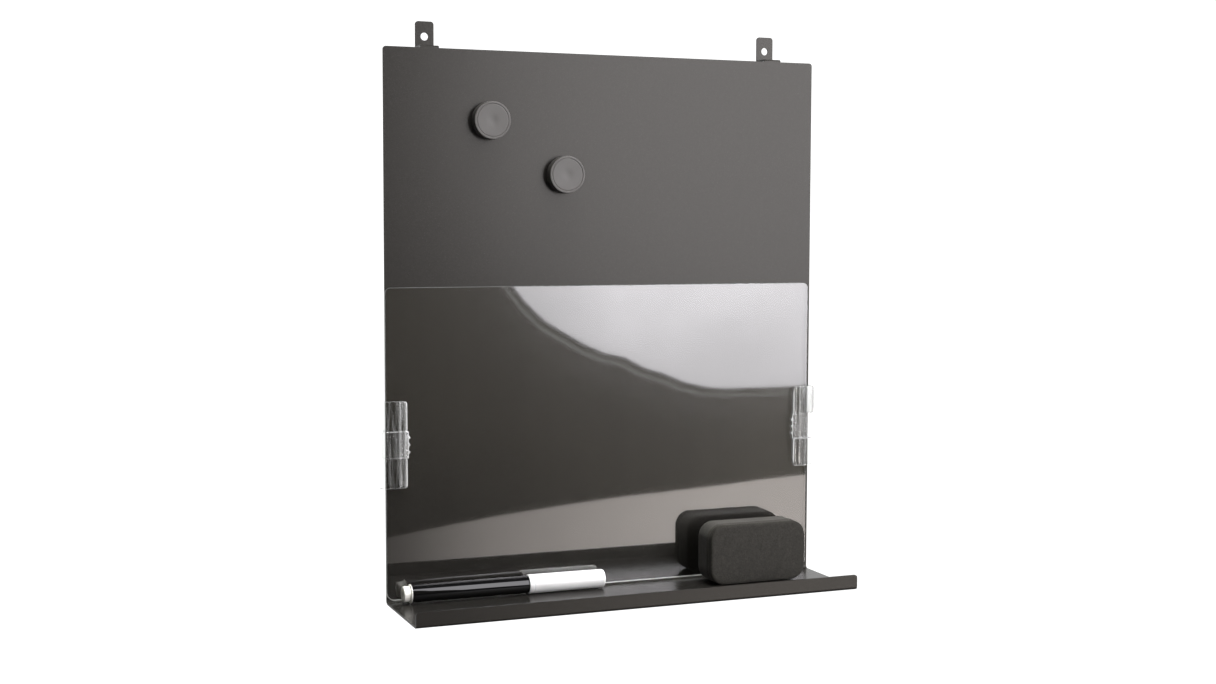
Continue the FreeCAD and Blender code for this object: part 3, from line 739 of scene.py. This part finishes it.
class BOARD_OT_sheet(bpy.types.Operator):
    """Folded steel board with tray, lip and hanger tabs, and its rear bumpers"""

    bl_idname = "board.sheet"
    bl_label = "Steel board"

    def execute(self, context):
        s = context.scene.board_sheet
        face = powder_coat(s, "graphite_powder_coat", 1.0)
        # The rims and soft edges get the coat at 0.4 of its colour and sheen: painted shade along the
        # sheet's edges.
        edge = powder_coat(s, "graphite_coat_shaded_edge", 0.4)
        piece = new_piece("steel_board", self.folded_sheet(s), face, edge)
        thicken(piece, s.thickness, even=True)
        soft_edges(piece, s.edge_round, material=1)
        even_normals(piece)
        settle(piece, "wall_board", "board_coated_steel", "board")
        for side, _ in SIDES:
            dress(f"rear_bumper_{side}", rubber(s))
        return {"FINISHED"}

    def folded_sheet(self, s):
        """The front side of the sheet, from the board's top edge down and round to the lip."""
        low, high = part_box("board")
        front = high.y - s.wall_gap - s.thickness
        top = -s.hole_rise
        floor = low.z + s.thickness
        lip = low.y + s.thickness
        lip_top = low.z + s.lip_height
        bm = bmesh.new()
        chain(bm, [(low.x, y, z) for y, z in ((front, top), (front, floor), (lip, floor), (lip, lip_top))])
        edges = bm.edges[:]
        tabs = [sign * (high.x - s.tab_inset) - s.tab_width / 2 for _, sign in SIDES]
        stops = [stop for left in tabs for stop in (left, left + s.tab_width)] + [high.x]
        at = low.x
        for stop in stops:
            edges = draw_out(bm, edges, (stop - at, 0, 0))
            at = stop
        corners = [
            vert for vert in bm.verts
            if near(abs(vert.co.x), high.x) and (near(vert.co.z, top) or near(vert.co.z, lip_top))
        ]
        round_corners(bm, corners, s.corner)
        for left in tabs:
            self.add_tab(bm, s, left, front, top)
        back_fold = edges_where(bm, lambda co: near(co.y, front) and near(co.z, floor))
        round_edges(bm, back_fold, s.back_bend, 10)
        lip_fold = edges_where(bm, lambda co: near(co.y, lip) and near(co.z, floor))
        round_edges(bm, lip_fold, s.lip_bend, 8)
        face_towards(bm, Vector((0, -1, 0)))
        return bm

    def add_tab(self, bm, s, left, front, top):
        """A tab stepped back to the wall, with round corners and a screw hole."""
        right = left + s.tab_width
        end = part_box("board")[1].z
        rear = -s.thickness
        web = top + s.tab_bend + s.thickness
        within = [
            edge for edge in edges_where(bm, lambda co: near(co.z, top) and near(co.y, front))
            if {round(vert.co.x, 6) for vert in edge.verts} == {round(left, 6), round(right, 6)}
        ]
        outer = draw_out(bm, within, (0, 0, web - top))
        inner = draw_out(bm, outer, (0, rear - front, 0))
        tip = draw_out(bm, inner, (0, 0, end - web))
        round_corners(bm, [vert for edge in tip for vert in edge.verts], s.corner)
        round_edges(bm, outer, s.tab_bend + s.thickness, 5)
        round_edges(bm, inner, s.tab_bend, 4)
        plate = max(
            (face for face in bm.faces if near(face.calc_center_median().y, rear)
             and left < face.calc_center_median().x < right),
            key=lambda face: face.calc_area(),
        )
        outline = plate.edges[:]
        bmesh.ops.delete(bm, geom=[plate], context="FACES_ONLY")
        middle = Matrix.Translation(((left + right) / 2, rear, 0))
        upright = middle @ Matrix.Rotation(math.pi / 2, 4, "X")
        ring = bmesh.ops.create_circle(bm, radius=s.hole / 2, segments=48, matrix=upright)["verts"]
        hole = [edge for edge in bm.edges if all(vert in ring for vert in edge.verts)]
        bmesh.ops.triangle_fill(bm, use_beauty=True, edges=outline + hole, normal=(0, -1, 0))


class BOARD_OT_panel(bpy.types.Operator):
    """Clear writing panel"""

    bl_idname = "board.panel"
    bl_label = "Writing panel"

    def execute(self, context):
        s = context.scene.board_panel
        low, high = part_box("writing_panel")
        bm = bmesh.new()
        outline = ((low.x, low.z), (high.x, low.z), (high.x, high.z), (low.x, high.z))
        corners = chain(bm, [(x, low.y, z) for x, z in outline], closed=True)
        bm.faces.new(corners)
        round_corners(bm, corners[:2], s.bottom_corner, 10)
        top = [vert for vert in bm.verts if near(vert.co.z, high.z)]
        round_corners(bm, top, s.top_corner, 10)
        made = bmesh.ops.extrude_face_region(bm, geom=bm.faces[:], use_keep_orig=True)["geom"]
        moved = [item for item in made if isinstance(item, bmesh.types.BMVert)]
        bmesh.ops.translate(bm, vec=(0, high.y - low.y, 0), verts=moved)
        bmesh.ops.recalc_face_normals(bm, faces=bm.faces[:])
        # The front, the edges and the rear have the first, second and third material
        for face in bm.faces:
            face.material_index = round(face.normal.y) + 1
        piece = new_piece("clear_panel", bm, clear_face(s), clear_edge(s), clear_back(s))
        soft_edges(piece, s.edge_round, 3, material=1)
        even_normals(piece)
        settle(piece, "panel", "panel_clear", "writing_panel")
        return {"FINISHED"}


class BOARD_OT_clips(bpy.types.Operator):
    """Clear clips that wrap the side edges of board and panel"""

    bl_idname = "board.clips"
    bl_label = "Clips"

    # The mesh's cells: their height, and their width across the front flange
    ROW = 0.4 * MM
    STEP = 0.25 * MM
    # Sizes of the flow lines, along the clip and across it, and of the collar's mottle
    FLOW_LENGTH = 14 * MM
    FLOW_WIDTH = 0.9 * MM
    MOTTLE = 1.3 * MM

    def execute(self, context):
        s = context.scene.board_clips
        plastic = clip_plastic(s)
        edge = clip_edge(s)
        for side, sign in SIDES:
            piece = new_piece(f"clear_clip_{side}", self.channel(s, side, sign), plastic, edge)
            thicken(piece, s.wall, even=False)
            soft_edges(piece, 0.2 * s.wall)
            even_normals(piece)
            settle(piece, f"clip_{side}", "clip_clear", f"{side}_clip")
        return {"FINISHED"}

    def channel(self, s, side, sign):
        """The clip's outer side: a C-shaped profile drawn upwards, then shaped row by row."""
        low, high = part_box(f"{side}_clip")
        board_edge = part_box("board")[1].x
        board_back = -bpy.context.scene.board_sheet.wall_gap
        middle = (board_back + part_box("writing_panel")[0].y) / 2
        half = (high.y - low.y) / 2 - s.collar_proud
        inner = min(abs(low.x), abs(high.x)) + s.collar_reach + s.tooth
        height = high.z - low.z
        bm = bmesh.new()
        width = board_edge - inner
        count = round(width / self.STEP)
        front = [inner + width * index / count for index in range(count + 1)]
        verts = chain(bm, [(x, middle - half, low.z) for x in front])
        turn = bmesh.ops.spin(
            bm, geom=[verts[-1]], cent=(board_edge, middle, low.z), axis=(0, 0, 1), angle=math.pi,
            steps=20, use_merge=False,
        )["geom_last"]
        last = next(item for item in turn if isinstance(item, bmesh.types.BMVert))
        rear = bm.verts.new((inner + s.rear_cutback, middle + half, low.z))
        bm.edges.new((last, rear))
        edges = bm.edges[:]
        rows = round(height / self.ROW)
        for _ in range(rows):
            edges = draw_out(bm, edges, (0, 0, height / rows))
        centre = (low.z + high.z) / 2
        for vert in bm.verts:
            vert.co = self.shaped(s, vert.co.copy(), side, centre, height, board_edge, middle, inner)
        if sign < 0:
            bmesh.ops.scale(bm, vec=(-1, 1, 1), verts=bm.verts[:])
        face_towards(bm, Vector((0, -1, 0)))
        return bm

    def shaped(self, s, co, side, centre, height, board_edge, middle, inner):
        """Where one point of the plain channel goes: collar, ribs, teeth, corners and flare."""
        rise = co.z - centre
        from_end = height / 2 - abs(rise)
        is_front = co.y < middle and co.x <= board_edge
        inward = max(0.0, (board_edge - co.x) / (board_edge - inner))
        collar = smooth_share((s.collar_height / 2 - abs(rise)) / COLLAR_EDGE)
        outwards = Vector((max(0.0, co.x - board_edge), co.y - middle, 0)).normalized()
        proud = s.collar_proud * collar
        if is_front:
            distance = co.x - inner
            swing = 2 * (distance / s.rib_pitch % 1) - 1
            ribbed = 1.0 if distance < RIBS * s.rib_pitch else 0.0
            run_out = smooth_share(from_end / s.taper)
            proud += ribbed * s.rib * (1 - swing * swing) * run_out * (1 - 0.4 * collar)
        flow = noise.noise(Vector((co.x / self.FLOW_WIDTH, co.y / self.FLOW_WIDTH, co.z / self.FLOW_LENGTH)))
        mottle = noise.noise(co / self.MOTTLE)
        proud += s.flow * (flow * (1 - collar) + mottle * collar)
        tooth = 0.0
        if is_front:
            for index in (-1, 0, 1):
                offset = (rise - index * s.tooth_pitch) / s.tooth
                tooth = max(tooth, math.sqrt(max(0.0, 1 - offset * offset)))
        co.x -= inward ** 12 * collar * (s.collar_reach + tooth * s.tooth)
        corner = max(0.0, 1 - from_end / (s.long_corner if side == "right" else s.corner))
        co.x += s.corner * (1 - math.sqrt(1 - corner * corner)) * inward
        flare = s.flare * max(0.0, 1 - from_end / (s.collar_height * 0.75)) ** 2
        if side == "right" and rise > s.collar_height / 2:
            flare = 0.0
            wing = (height - s.collar_height) / 2
            along = 2 * (rise - s.collar_height / 2) / wing - 1
            tab = math.sqrt(max(0.0, 1 - along ** 6))
            proud += s.thumb * tab * smooth_share((s.thumb_width - (board_edge - co.x)) / (0.5 * MM))
        co += outwards * proud
        co.x += flare * smooth_share(1 - inward * 1.6) * (1 - collar)
        return co


class BOARD_OT_magnets(bpy.types.Operator):
    """Round magnets: satin caps, with the sintered discs inside them"""

    bl_idname = "board.magnets"
    bl_label = "Magnets"

    def execute(self, context):
        s = context.scene.board_magnets
        plastic = magnet_plastic(s)
        for name in ("upper", "lower"):
            piece = new_piece(f"magnet_cap_{name}", self.cap(s, name), plastic)
            even_normals(piece)
            settle(piece, f"magnet_{name}", "magnet_cap_matte", f"{name}_magnet_cap")
            dress(f"{name}_magnet_disc", magnet_core(s))
        return {"FINISHED"}

    def cap(self, s, name):
        low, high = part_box(f"{name}_magnet_cap")
        disc_low, disc_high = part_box(f"{name}_magnet_disc")
        radius = (high.x - low.x) / 2
        pocket = (disc_high.x - disc_low.x) / 2 + 0.05 * MM
        depth = high.y - disc_low.y
        face = high.y - low.y
        centre = Vector(((low.x + high.x) / 2, high.y, (low.z + high.z) / 2))
        dish = radius - s.rim_width
        floor = face - s.dish_depth
        bm = bmesh.new()
        turned(bm, [
            (depth, 0, 0),
            (depth, pocket, 0),
            (0, pocket, 0.15),
            (0, radius, 0.3),
            (face, radius, s.edge_round / MM),
            (face, dish, 0.12),
            (face - s.groove, dish - 0.2 * MM, 0.1),
            (floor, dish - 0.6 * MM, 0.3),
            (floor - s.dish_depth, s.dimple / 2, 1.5),
            (floor - s.dimple_depth, s.dimple / 6, 1.0),
            (floor - s.dimple_depth, 0, 0),
        ], centre, (0, -1, 0), steps=128)
        return bm


class BOARD_OT_marker(bpy.types.Operator):
    """Marker: end plug, barrel, nib holder, nib and cap, turned about its axis"""

    bl_idname = "board.marker"
    bl_label = "Marker"

    def execute(self, context):
        s = context.scene.board_marker
        black = marker_gloss("marker_black_gloss", s.black, 0.02, 2.5, 0.0)
        white = marker_gloss("marker_white_gloss", s.white, 0.34, 3, 0.5)
        ivory = marker_gloss("marker_ivory_gloss", s.ivory, 0.34, 2, 0.5)
        nib = ink_fibre("marker_nib_fibre", s.ink, (0.15, 1.0, 1.0))
        parts = (
            ("plug", self.plug, ivory, "marker", "marker_white", "marker_end_plug"),
            ("barrel", self.barrel, black, "marker", "marker_black", "marker_barrel"),
            ("nib_holder", self.holder, black, "marker", "marker_black", "marker_nib_holder"),
            ("nib", self.nib, nib, "marker", "nib_fibre", "marker_nib"),
            ("cap", self.cap, white, "cap_of_marker", "marker_white", "marker_cap"),
        )
        for name, build, material, body, slot, node in parts:
            piece = new_piece(f"marker_{name}_turned", build(s), material)
            even_normals(piece)
            settle(piece, body, slot, node)
        dress("marker_ink_reservoir", ink_fibre("marker_ink_fibre", s.ink, (0.1, 1.0, 1.0)))
        return {"FINISHED"}

    def lathe(self, corners, closed=False):
        """Turns corners, each its place along X, radius and rounding, about the marker's axis."""
        low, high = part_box("marker_cap")
        centre = Vector((0, (low.y + high.y) / 2, (low.z + high.z) / 2))
        bm = bmesh.new()
        turned(bm, corners, centre, (1, 0, 0), closed=closed)
        return bm

    def radii(self, s):
        barrel = s.barrel / 2
        neck = barrel - s.neck_step
        bore = neck - s.neck_wall
        return barrel, neck, bore, bore - s.fit

    def plug(self, s):
        barrel, _, _, pressed = self.radii(s)
        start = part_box("marker_end_plug")[0].x
        spigot_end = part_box("marker_end_plug")[1].x
        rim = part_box("marker_barrel")[0].x
        flange = barrel + s.flange_step
        knob = flange - s.knob_step
        recess = knob - s.knob_wall
        shoulder = rim - s.flange
        return self.lathe([
            (start + s.recess, 0, 0),
            (start + s.recess, recess, 0.3),
            (start, recess, 0.3),
            (start, knob, 0.7),
            (shoulder, knob, 0.2),
            (shoulder, flange, 0.3),
            (rim, flange, 0.2),
            (rim, pressed, 0),
            (spigot_end, pressed, 0.3),
            (spigot_end, 0, 0),
        ])

    def barrel(self, s):
        barrel, neck, bore, _ = self.radii(s)
        low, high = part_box("marker_barrel")
        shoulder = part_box("marker_cap")[0].x - s.gap
        return self.lathe([
            (low.x, bore, 0),
            (low.x, barrel, 0.15),
            (shoulder, barrel, 0.2),
            (shoulder, neck, 0.1),
            (high.x, neck, 0.2),
            (high.x, bore, 0),
        ], closed=True)

    def holder(self, s):
        _, neck, _, pressed = self.radii(s)
        low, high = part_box("marker_nib_holder")
        neck_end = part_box("marker_barrel")[1].x
        flange = neck_end + 1.5 * MM
        nib = s.nib / 2
        return self.lathe([
            (low.x, nib + s.fit, 0),
            (low.x, pressed, 0.2),
            (neck_end, pressed, 0),
            (neck_end, neck, 0.15),
            (flange, neck, 0.25),
            (flange, neck * 0.84, 0.2),
            (high.x, nib * 1.35, 0.3),
            (high.x, nib + s.fit, 0.1),
        ], closed=True)

    def nib(self, s):
        low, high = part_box("marker_nib")
        nib = s.nib / 2
        return self.lathe([
            (low.x, 0, 0),
            (low.x, nib, 0),
            (high.x - nib, nib, 0.6),
            (high.x, nib * 0.45, 0.7),
            (high.x, 0, 0),
        ])

    def cap(self, s):
        _, neck, _, _ = self.radii(s)
        low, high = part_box("marker_cap")
        bore = neck + s.gap
        outer = bore + s.cap_wall
        end = outer - 0.3 * MM
        inner = bore - 0.5 * MM
        ring = low.x + s.ring_distance
        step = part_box("marker_barrel")[1].x + 1.8 * MM
        inside_end = high.x - 1.6 * MM
        return self.lathe([
            (low.x, bore, 0.15),
            (low.x, outer, 0.25),
            (ring, outer, 0.1),
            (ring + s.ring_width / 2, outer - s.ring_depth, 0.15),
            (ring + s.ring_width, outer, 0.1),
            (high.x, end, 1.3),
            (high.x, end * 0.62, 0.12),
            (high.x - 0.3 * MM, end * 0.56, 0.12),
            (high.x - 0.3 * MM, 0, 0),
            (inside_end, 0, 0),
            (inside_end, inner, 0.3),
            (step, inner, 0),
            (step, bore, 0),
        ], closed=True)


class BOARD_OT_eraser(bpy.types.Operator):
    """Eraser: dense foam block with a felt wiping pad on its front"""

    bl_idname = "board.eraser"
    bl_label = "Eraser"

    # Sizes of the tufts and of the fibres that make the surface uneven
    TUFT = 2.2 * MM
    FIBRE = 0.9 * MM

    def execute(self, context):
        s = context.scene.board_eraser
        layers = (
            ("foam", "eraser_foam_block", foam(s), "eraser_foam", 1, 0.4),
            ("felt", "eraser_felt_pad", felt(s), "eraser_felt", -1, 1.0),
        )
        for name, node, material, slot, outer, rough in layers:
            piece = self.layer(s, name, node, material, outer, rough)
            settle(piece, "eraser", slot, node)
        return {"FINISHED"}

    def layer(self, s, name, node, material, outer, rough):
        """One layer, remeshed evenly so that its soft surface can be shaped point by point.

        The outer side, 1 for the rear and -1 for the front, swells and has the wider rim.
        """
        low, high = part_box(node)
        size = high - low
        centre = (low + high) / 2
        bm = bmesh.new()
        bmesh.ops.create_cube(bm, size=1, matrix=Matrix.Translation(centre) @ Matrix.Diagonal((*size, 1)))
        across = [edge for edge in bm.edges if near(edge.calc_length(), size.y)]
        round_edges(bm, across, s.corner, 14)
        rim, seam = (high.y, low.y) if outer > 0 else (low.y, high.y)
        round_edges(bm, edges_where(bm, lambda co: near(co.y, rim)), s.edge_round, 5)
        round_edges(bm, edges_where(bm, lambda co: near(co.y, seam)), s.edge_round / 3, 3)
        blank = new_piece(f"{name}_blank", bm)
        modify(blank, "Even cells", "REMESH", mode="VOXEL", voxel_size=s.cell)
        evaluated = blank.evaluated_get(bpy.context.evaluated_depsgraph_get())
        mesh = bpy.data.meshes.new_from_object(evaluated)
        bpy.data.objects.remove(blank)
        bm = bmesh.new()
        bm.from_mesh(mesh)
        bpy.data.meshes.remove(mesh)
        for _ in range(2):
            bmesh.ops.smooth_vert(
                bm, verts=bm.verts[:], factor=0.5, use_axis_x=True, use_axis_y=True, use_axis_z=True,
            )
        bm.normal_update()
        for vert in bm.verts:
            spot = vert.co - centre
            flat = math.prod(max(0.0, 1 - (2 * spot[axis] / size[axis]) ** 2) for axis in (0, 2))
            swell = s.crown * flat if spot.y * outer > 0 else 0
            uneven = noise.noise(vert.co / self.TUFT) + 0.6 * noise.noise(vert.co / self.FIBRE)
            vert.co += vert.normal * (swell + uneven * s.fuzz * rough - s.fuzz)
        return new_piece(f"eraser_{name}", bm, material)


class BOARD_OT_stage(bpy.types.Operator):
    """Floor, soft lights, the surroundings that the gloss mirrors, and the camera"""

    bl_idname = "board.stage"
    bl_label = "Stage"

    # What only gloss mirrors is hidden from these rays
    MIRRORED = ("camera", "diffuse", "shadow")
    # Lower edge of the soft light on an upright plane, as X and Z; only gloss mirrors the wing
    LIGHT_PLANE = -1.5
    LIGHT_WING = ((0.335, -0.13), (0.38, -0.15), (0.405, -0.19))
    LIGHT_EDGE = ((0.421, -0.249), (0.435, -0.265), (0.454, -0.289), (0.488, -0.321), (0.522, -0.341),
                  (0.556, -0.36), (0.591, -0.375), (0.626, -0.383), (0.661, -0.401), (0.697, -0.412),
                  (0.733, -0.427), (0.77, -0.436), (0.806, -0.44), (0.919, -0.441), (1.7, -0.43))
    # Far edge of the mirrored table on a nearer plane
    TABLE_PLANE = -0.9
    TABLE_EDGE = ((-0.6, -0.65), (0.02, -0.526), (0.073, -0.517), (0.145, -0.507), (0.22, -0.498),
                  (0.297, -0.491), (0.376, -0.485), (0.458, -0.481), (0.514, -0.478), (0.57, -0.474),
                  (0.634, -0.471), (2.0, -0.4))
    # How bright the table is from left to right, as X and share
    TABLE_LIGHT = ((0.04, 0.02), (0.11, 0.16), (0.2, 0.44), (0.3, 0.65), (0.42, 0.84), (0.52, 1.0))
    # Lower edge of the fill light at the front left, as X and Y
    FILL_EDGE = ((-1.6, -0.4), (-1.25, -0.85), (-0.9, -1.25), (-0.55, -1.65))
    FILL_BOTTOM = -1.0
    CURTAIN_PLANE = -2.2

    def execute(self, context):
        s = context.scene.board_studio
        self.add_camera(context.scene, s)
        self.add_floor(s)
        self.add_room(context.scene, s)
        self.add_soft_light(s)
        self.add_fill_light(s)
        self.add_overhead(s)
        self.add_table(s)
        self.add_curtain(s)
        context.scene.view_settings.view_transform = "Standard"
        return {"FINISHED"}

    def add_camera(self, scene, s):
        data = bpy.data.cameras.new("camera")
        data.lens = s.focal_length
        data.sensor_width = 36
        camera = bpy.data.objects.new("camera", data)
        scene.collection.objects.link(camera)
        turn = Matrix.Rotation(s.yaw, 4, "Z") @ Matrix.Rotation(s.pitch, 4, "X")
        turn = turn @ Matrix.Rotation(s.roll, 4, "Y") @ Matrix.Rotation(math.pi / 2, 4, "X")
        camera.matrix_world = Matrix.Translation(s.camera) @ turn
        scene.camera = camera

    def card(self, name, bm, shader_of, unseen=MIRRORED):
        """A stage mesh with its own shader, hidden from the kinds of rays that are named."""
        finish = Finish(name)
        piece = new_piece(name, bm, finish.show(shader_of(finish)))
        for kind in unseen:
            setattr(piece, f"visible_{kind}", False)

    def square(self, half, matrix):
        bm = bmesh.new()
        bmesh.ops.create_grid(bm, x_segments=1, y_segments=1, size=half, matrix=matrix)
        return bm

    def hung(self, line, *steps):
        """A sheet that is drawn out from a line of points, step by step."""
        bm = bmesh.new()
        chain(bm, line)
        edges = bm.edges[:]
        for step in steps:
            edges = draw_out(bm, edges, step)
        return bm

    def leaning(self, edge, plane):
        """A sheet that starts upright on its lower edge and leans over the board."""
        bm = self.hung([(x, plane, z) for x, z in edge], (0, 0, 0.6), (0, 0.6, 1.1))
        face_towards(bm, Vector((0, 1, 0)))
        return bm

    def add_floor(self, s):
        def pale(finish):
            base = finish.mix(finish.noise(500), scaled(s.floor, 0.97), s.floor)
            matte = finish.surface(base, 1.0, None, {"Specular IOR Level": 0.0})
            seen = finish.add("LightPath", output="Is Camera Ray")
            return finish.blend(seen, matte, finish.glow(WHITE, s.white))

        self.card("floor", self.square(20, Matrix.Translation(s.floor_height)), pale, ("glossy",))

    def add_room(self, scene, s):
        """White to the camera, and a dim even light to all else."""
        scene.world = bpy.data.worlds.new("room")
        finish = Finish(scene.world)
        seen = finish.add("LightPath", output="Is Camera Ray")
        dim = finish.add("Background", {}, {"Color": (1.0, 0.98, 0.96, 1.0), "Strength": s.room})
        white = finish.add("Background", {}, {"Color": WHITE, "Strength": s.white})
        finish.add("OutputWorld", {}, {"Surface": finish.blend(seen, dim, white)})

    def add_soft_light(self, s):
        """The large soft light at the front right, and the same light as gloss mirrors it."""
        def from_left(finish):
            return finish.ease(finish.axis("X") - 0.42, 0.25)

        def cloth(finish):
            amount = from_left(finish) * 0.3 + 0.7
            return finish.dimmed_glow(amount, (0.99, 0.97, 1.0, 1.0), s.key)

        def mirrored(finish):
            height = finish.axis("Z")
            lower = finish.ease(height + 0.468, 0.3)
            upper = finish.ease(height + 0.2, 0.15)
            fill = upper.math("MAXIMUM", from_left(finish), upper)
            folds = finish.ramp(finish.noise(140), (0.3, 0.0), (0.7, 1.0))
            amount = (lower * 0.35 + 0.65) * (fill * 0.3 + 0.7) * (folds * 0.12 + 0.88)
            return finish.dimmed_glow(amount, (0.98, 0.96, 1.0, 1.0), s.key_gloss)

        def piping(finish):
            wear = finish.noise(80)
            return finish.glow(finish.mix(wear, (0.5, 0.5, 0.45, 1.0), (1.0, 1.0, 0.95, 1.0)), 0.75)

        sheet = self.leaning(self.LIGHT_EDGE, self.LIGHT_PLANE - 0.02)
        self.card("soft_light", sheet, cloth, ("camera", "glossy"))
        sheet = self.leaning(self.LIGHT_WING + self.LIGHT_EDGE, self.LIGHT_PLANE)
        self.card("soft_light_mirrored", sheet, mirrored)
        below = [(x - 0.004, self.LIGHT_PLANE - 0.002, z - 0.0095) for x, z in self.LIGHT_EDGE]
        self.card("soft_light_piping", self.hung(below, (-0.002, 0, -0.0055)), piping)

    def add_fill_light(self, s):
        """A weaker light at the front left, for gloss alone, that fades towards its edges."""
        def cloth(finish):
            across = finish.axis("X")
            sides = finish.ease(across + 1.6, 0.3) * finish.ease(-0.55 - across, 0.3)
            rise = finish.ease(finish.axis("Z") - self.FILL_BOTTOM, 0.9)
            amount = sides * rise * (finish.noise(300) * 0.2 + 0.9)
            return finish.dimmed_glow(amount, (1.0, 0.98, 0.96, 1.0), s.fill_gloss)

        line = [(x, y, self.FILL_BOTTOM) for x, y in self.FILL_EDGE]
        self.card("mirrored_fill_light", self.hung(line, (0, 0, 1.9)), cloth)

    def add_overhead(self, s):
        """A soft light above, which gloss doesn't mirror, and a white backdrop behind."""
        def white(strength):
            return lambda finish: finish.glow(WHITE, strength)

        above = self.square(0.3, Matrix.Translation((0.1, -0.24, 1.3)))
        self.card("overhead_light", above, white(s.overhead), ("camera", "glossy"))
        upright = Matrix.Translation((0, 0.5, 0)) @ Matrix.Rotation(math.pi / 2, 4, "X")
        self.card("backdrop", self.square(0.9, upright), white(s.backdrop), ("camera",))

    def add_table(self, s):
        def top(finish):
            bright = finish.ramp(finish.axis("X"), *self.TABLE_LIGHT)
            near_end = finish.ease(-0.62 - finish.axis("Z"), 0.5)
            amount = bright * (finish.noise(150) * 0.2 + 0.9) * (1 - near_end * 0.8)
            return finish.dimmed_glow(amount, (1.0, 0.92, 0.87, 1.0), s.table)

        line = [(x, self.TABLE_PLANE, z) for x, z in self.TABLE_EDGE]
        self.card("mirrored_table", self.hung(line, (0, 0, -2.5)), top)

    def add_curtain(self, s):
        def drape(finish):
            across = finish.axis("X")
            bright = finish.ease(across - 1.05, 0.3) * 0.14 + 0.16
            climb = finish.ease(finish.axis("Z") + across * 0.3 + 0.66, 0.3)
            folds = finish.noise(50, 3.0, stretch=(1.0, 1.0, 0.03))
            amount = bright * (climb * 0.85 + 0.15) * (folds * 0.4 + 0.8)
            return finish.dimmed_glow(amount, (1.0, 0.88, 0.68, 1.0), s.curtain)

        line = [(x, self.CURTAIN_PLANE, -2.0) for x in (-2.5, 4.0)]
        self.card("mirrored_curtain", self.hung(line, (0, 0, 4.5)), drape)


OPERATORS = (
    BOARD_OT_sheet,
    BOARD_OT_panel,
    BOARD_OT_clips,
    BOARD_OT_magnets,
    BOARD_OT_marker,
    BOARD_OT_eraser,
    BOARD_OT_stage,
)


class BOARD_PT_builder(bpy.types.Panel):
    """Lists the pieces that can be built, with their sizes and colours"""

    bl_idname = "BOARD_PT_builder"
    bl_label = "Magnetic board"
    bl_space_type = "VIEW_3D"
    bl_region_type = "UI"
    bl_category = "Board"

    def draw(self, context):
        for operator, name in zip(OPERATORS, SETTINGS):
            box = self.layout.box()
            box.operator(operator.bl_idname)
            group = getattr(context.scene, name)
            for key in group.bl_rna.properties.keys():
                if key not in {"rna_type", "name"}:
                    box.prop(group, key)


def register():
    for name, group in SETTINGS.items():
        bpy.utils.register_class(group)
        setattr(bpy.types.Scene, name, PointerProperty(type=group))
    for operator in OPERATORS:
        bpy.utils.register_class(operator)
    bpy.utils.register_class(BOARD_PT_builder)


def unregister():
    bpy.utils.unregister_class(BOARD_PT_builder)
    for operator in reversed(OPERATORS):
        bpy.utils.unregister_class(operator)
    for name, group in reversed(SETTINGS.items()):
        delattr(bpy.types.Scene, name)
        bpy.utils.unregister_class(group)


def main():
    register()
    bpy.ops.board.sheet()
    bpy.ops.board.panel()
    bpy.ops.board.clips()
    bpy.ops.board.magnets()
    bpy.ops.board.marker()
    bpy.ops.board.eraser()
    bpy.ops.board.stage()


if __name__ == "__main__":
    main()
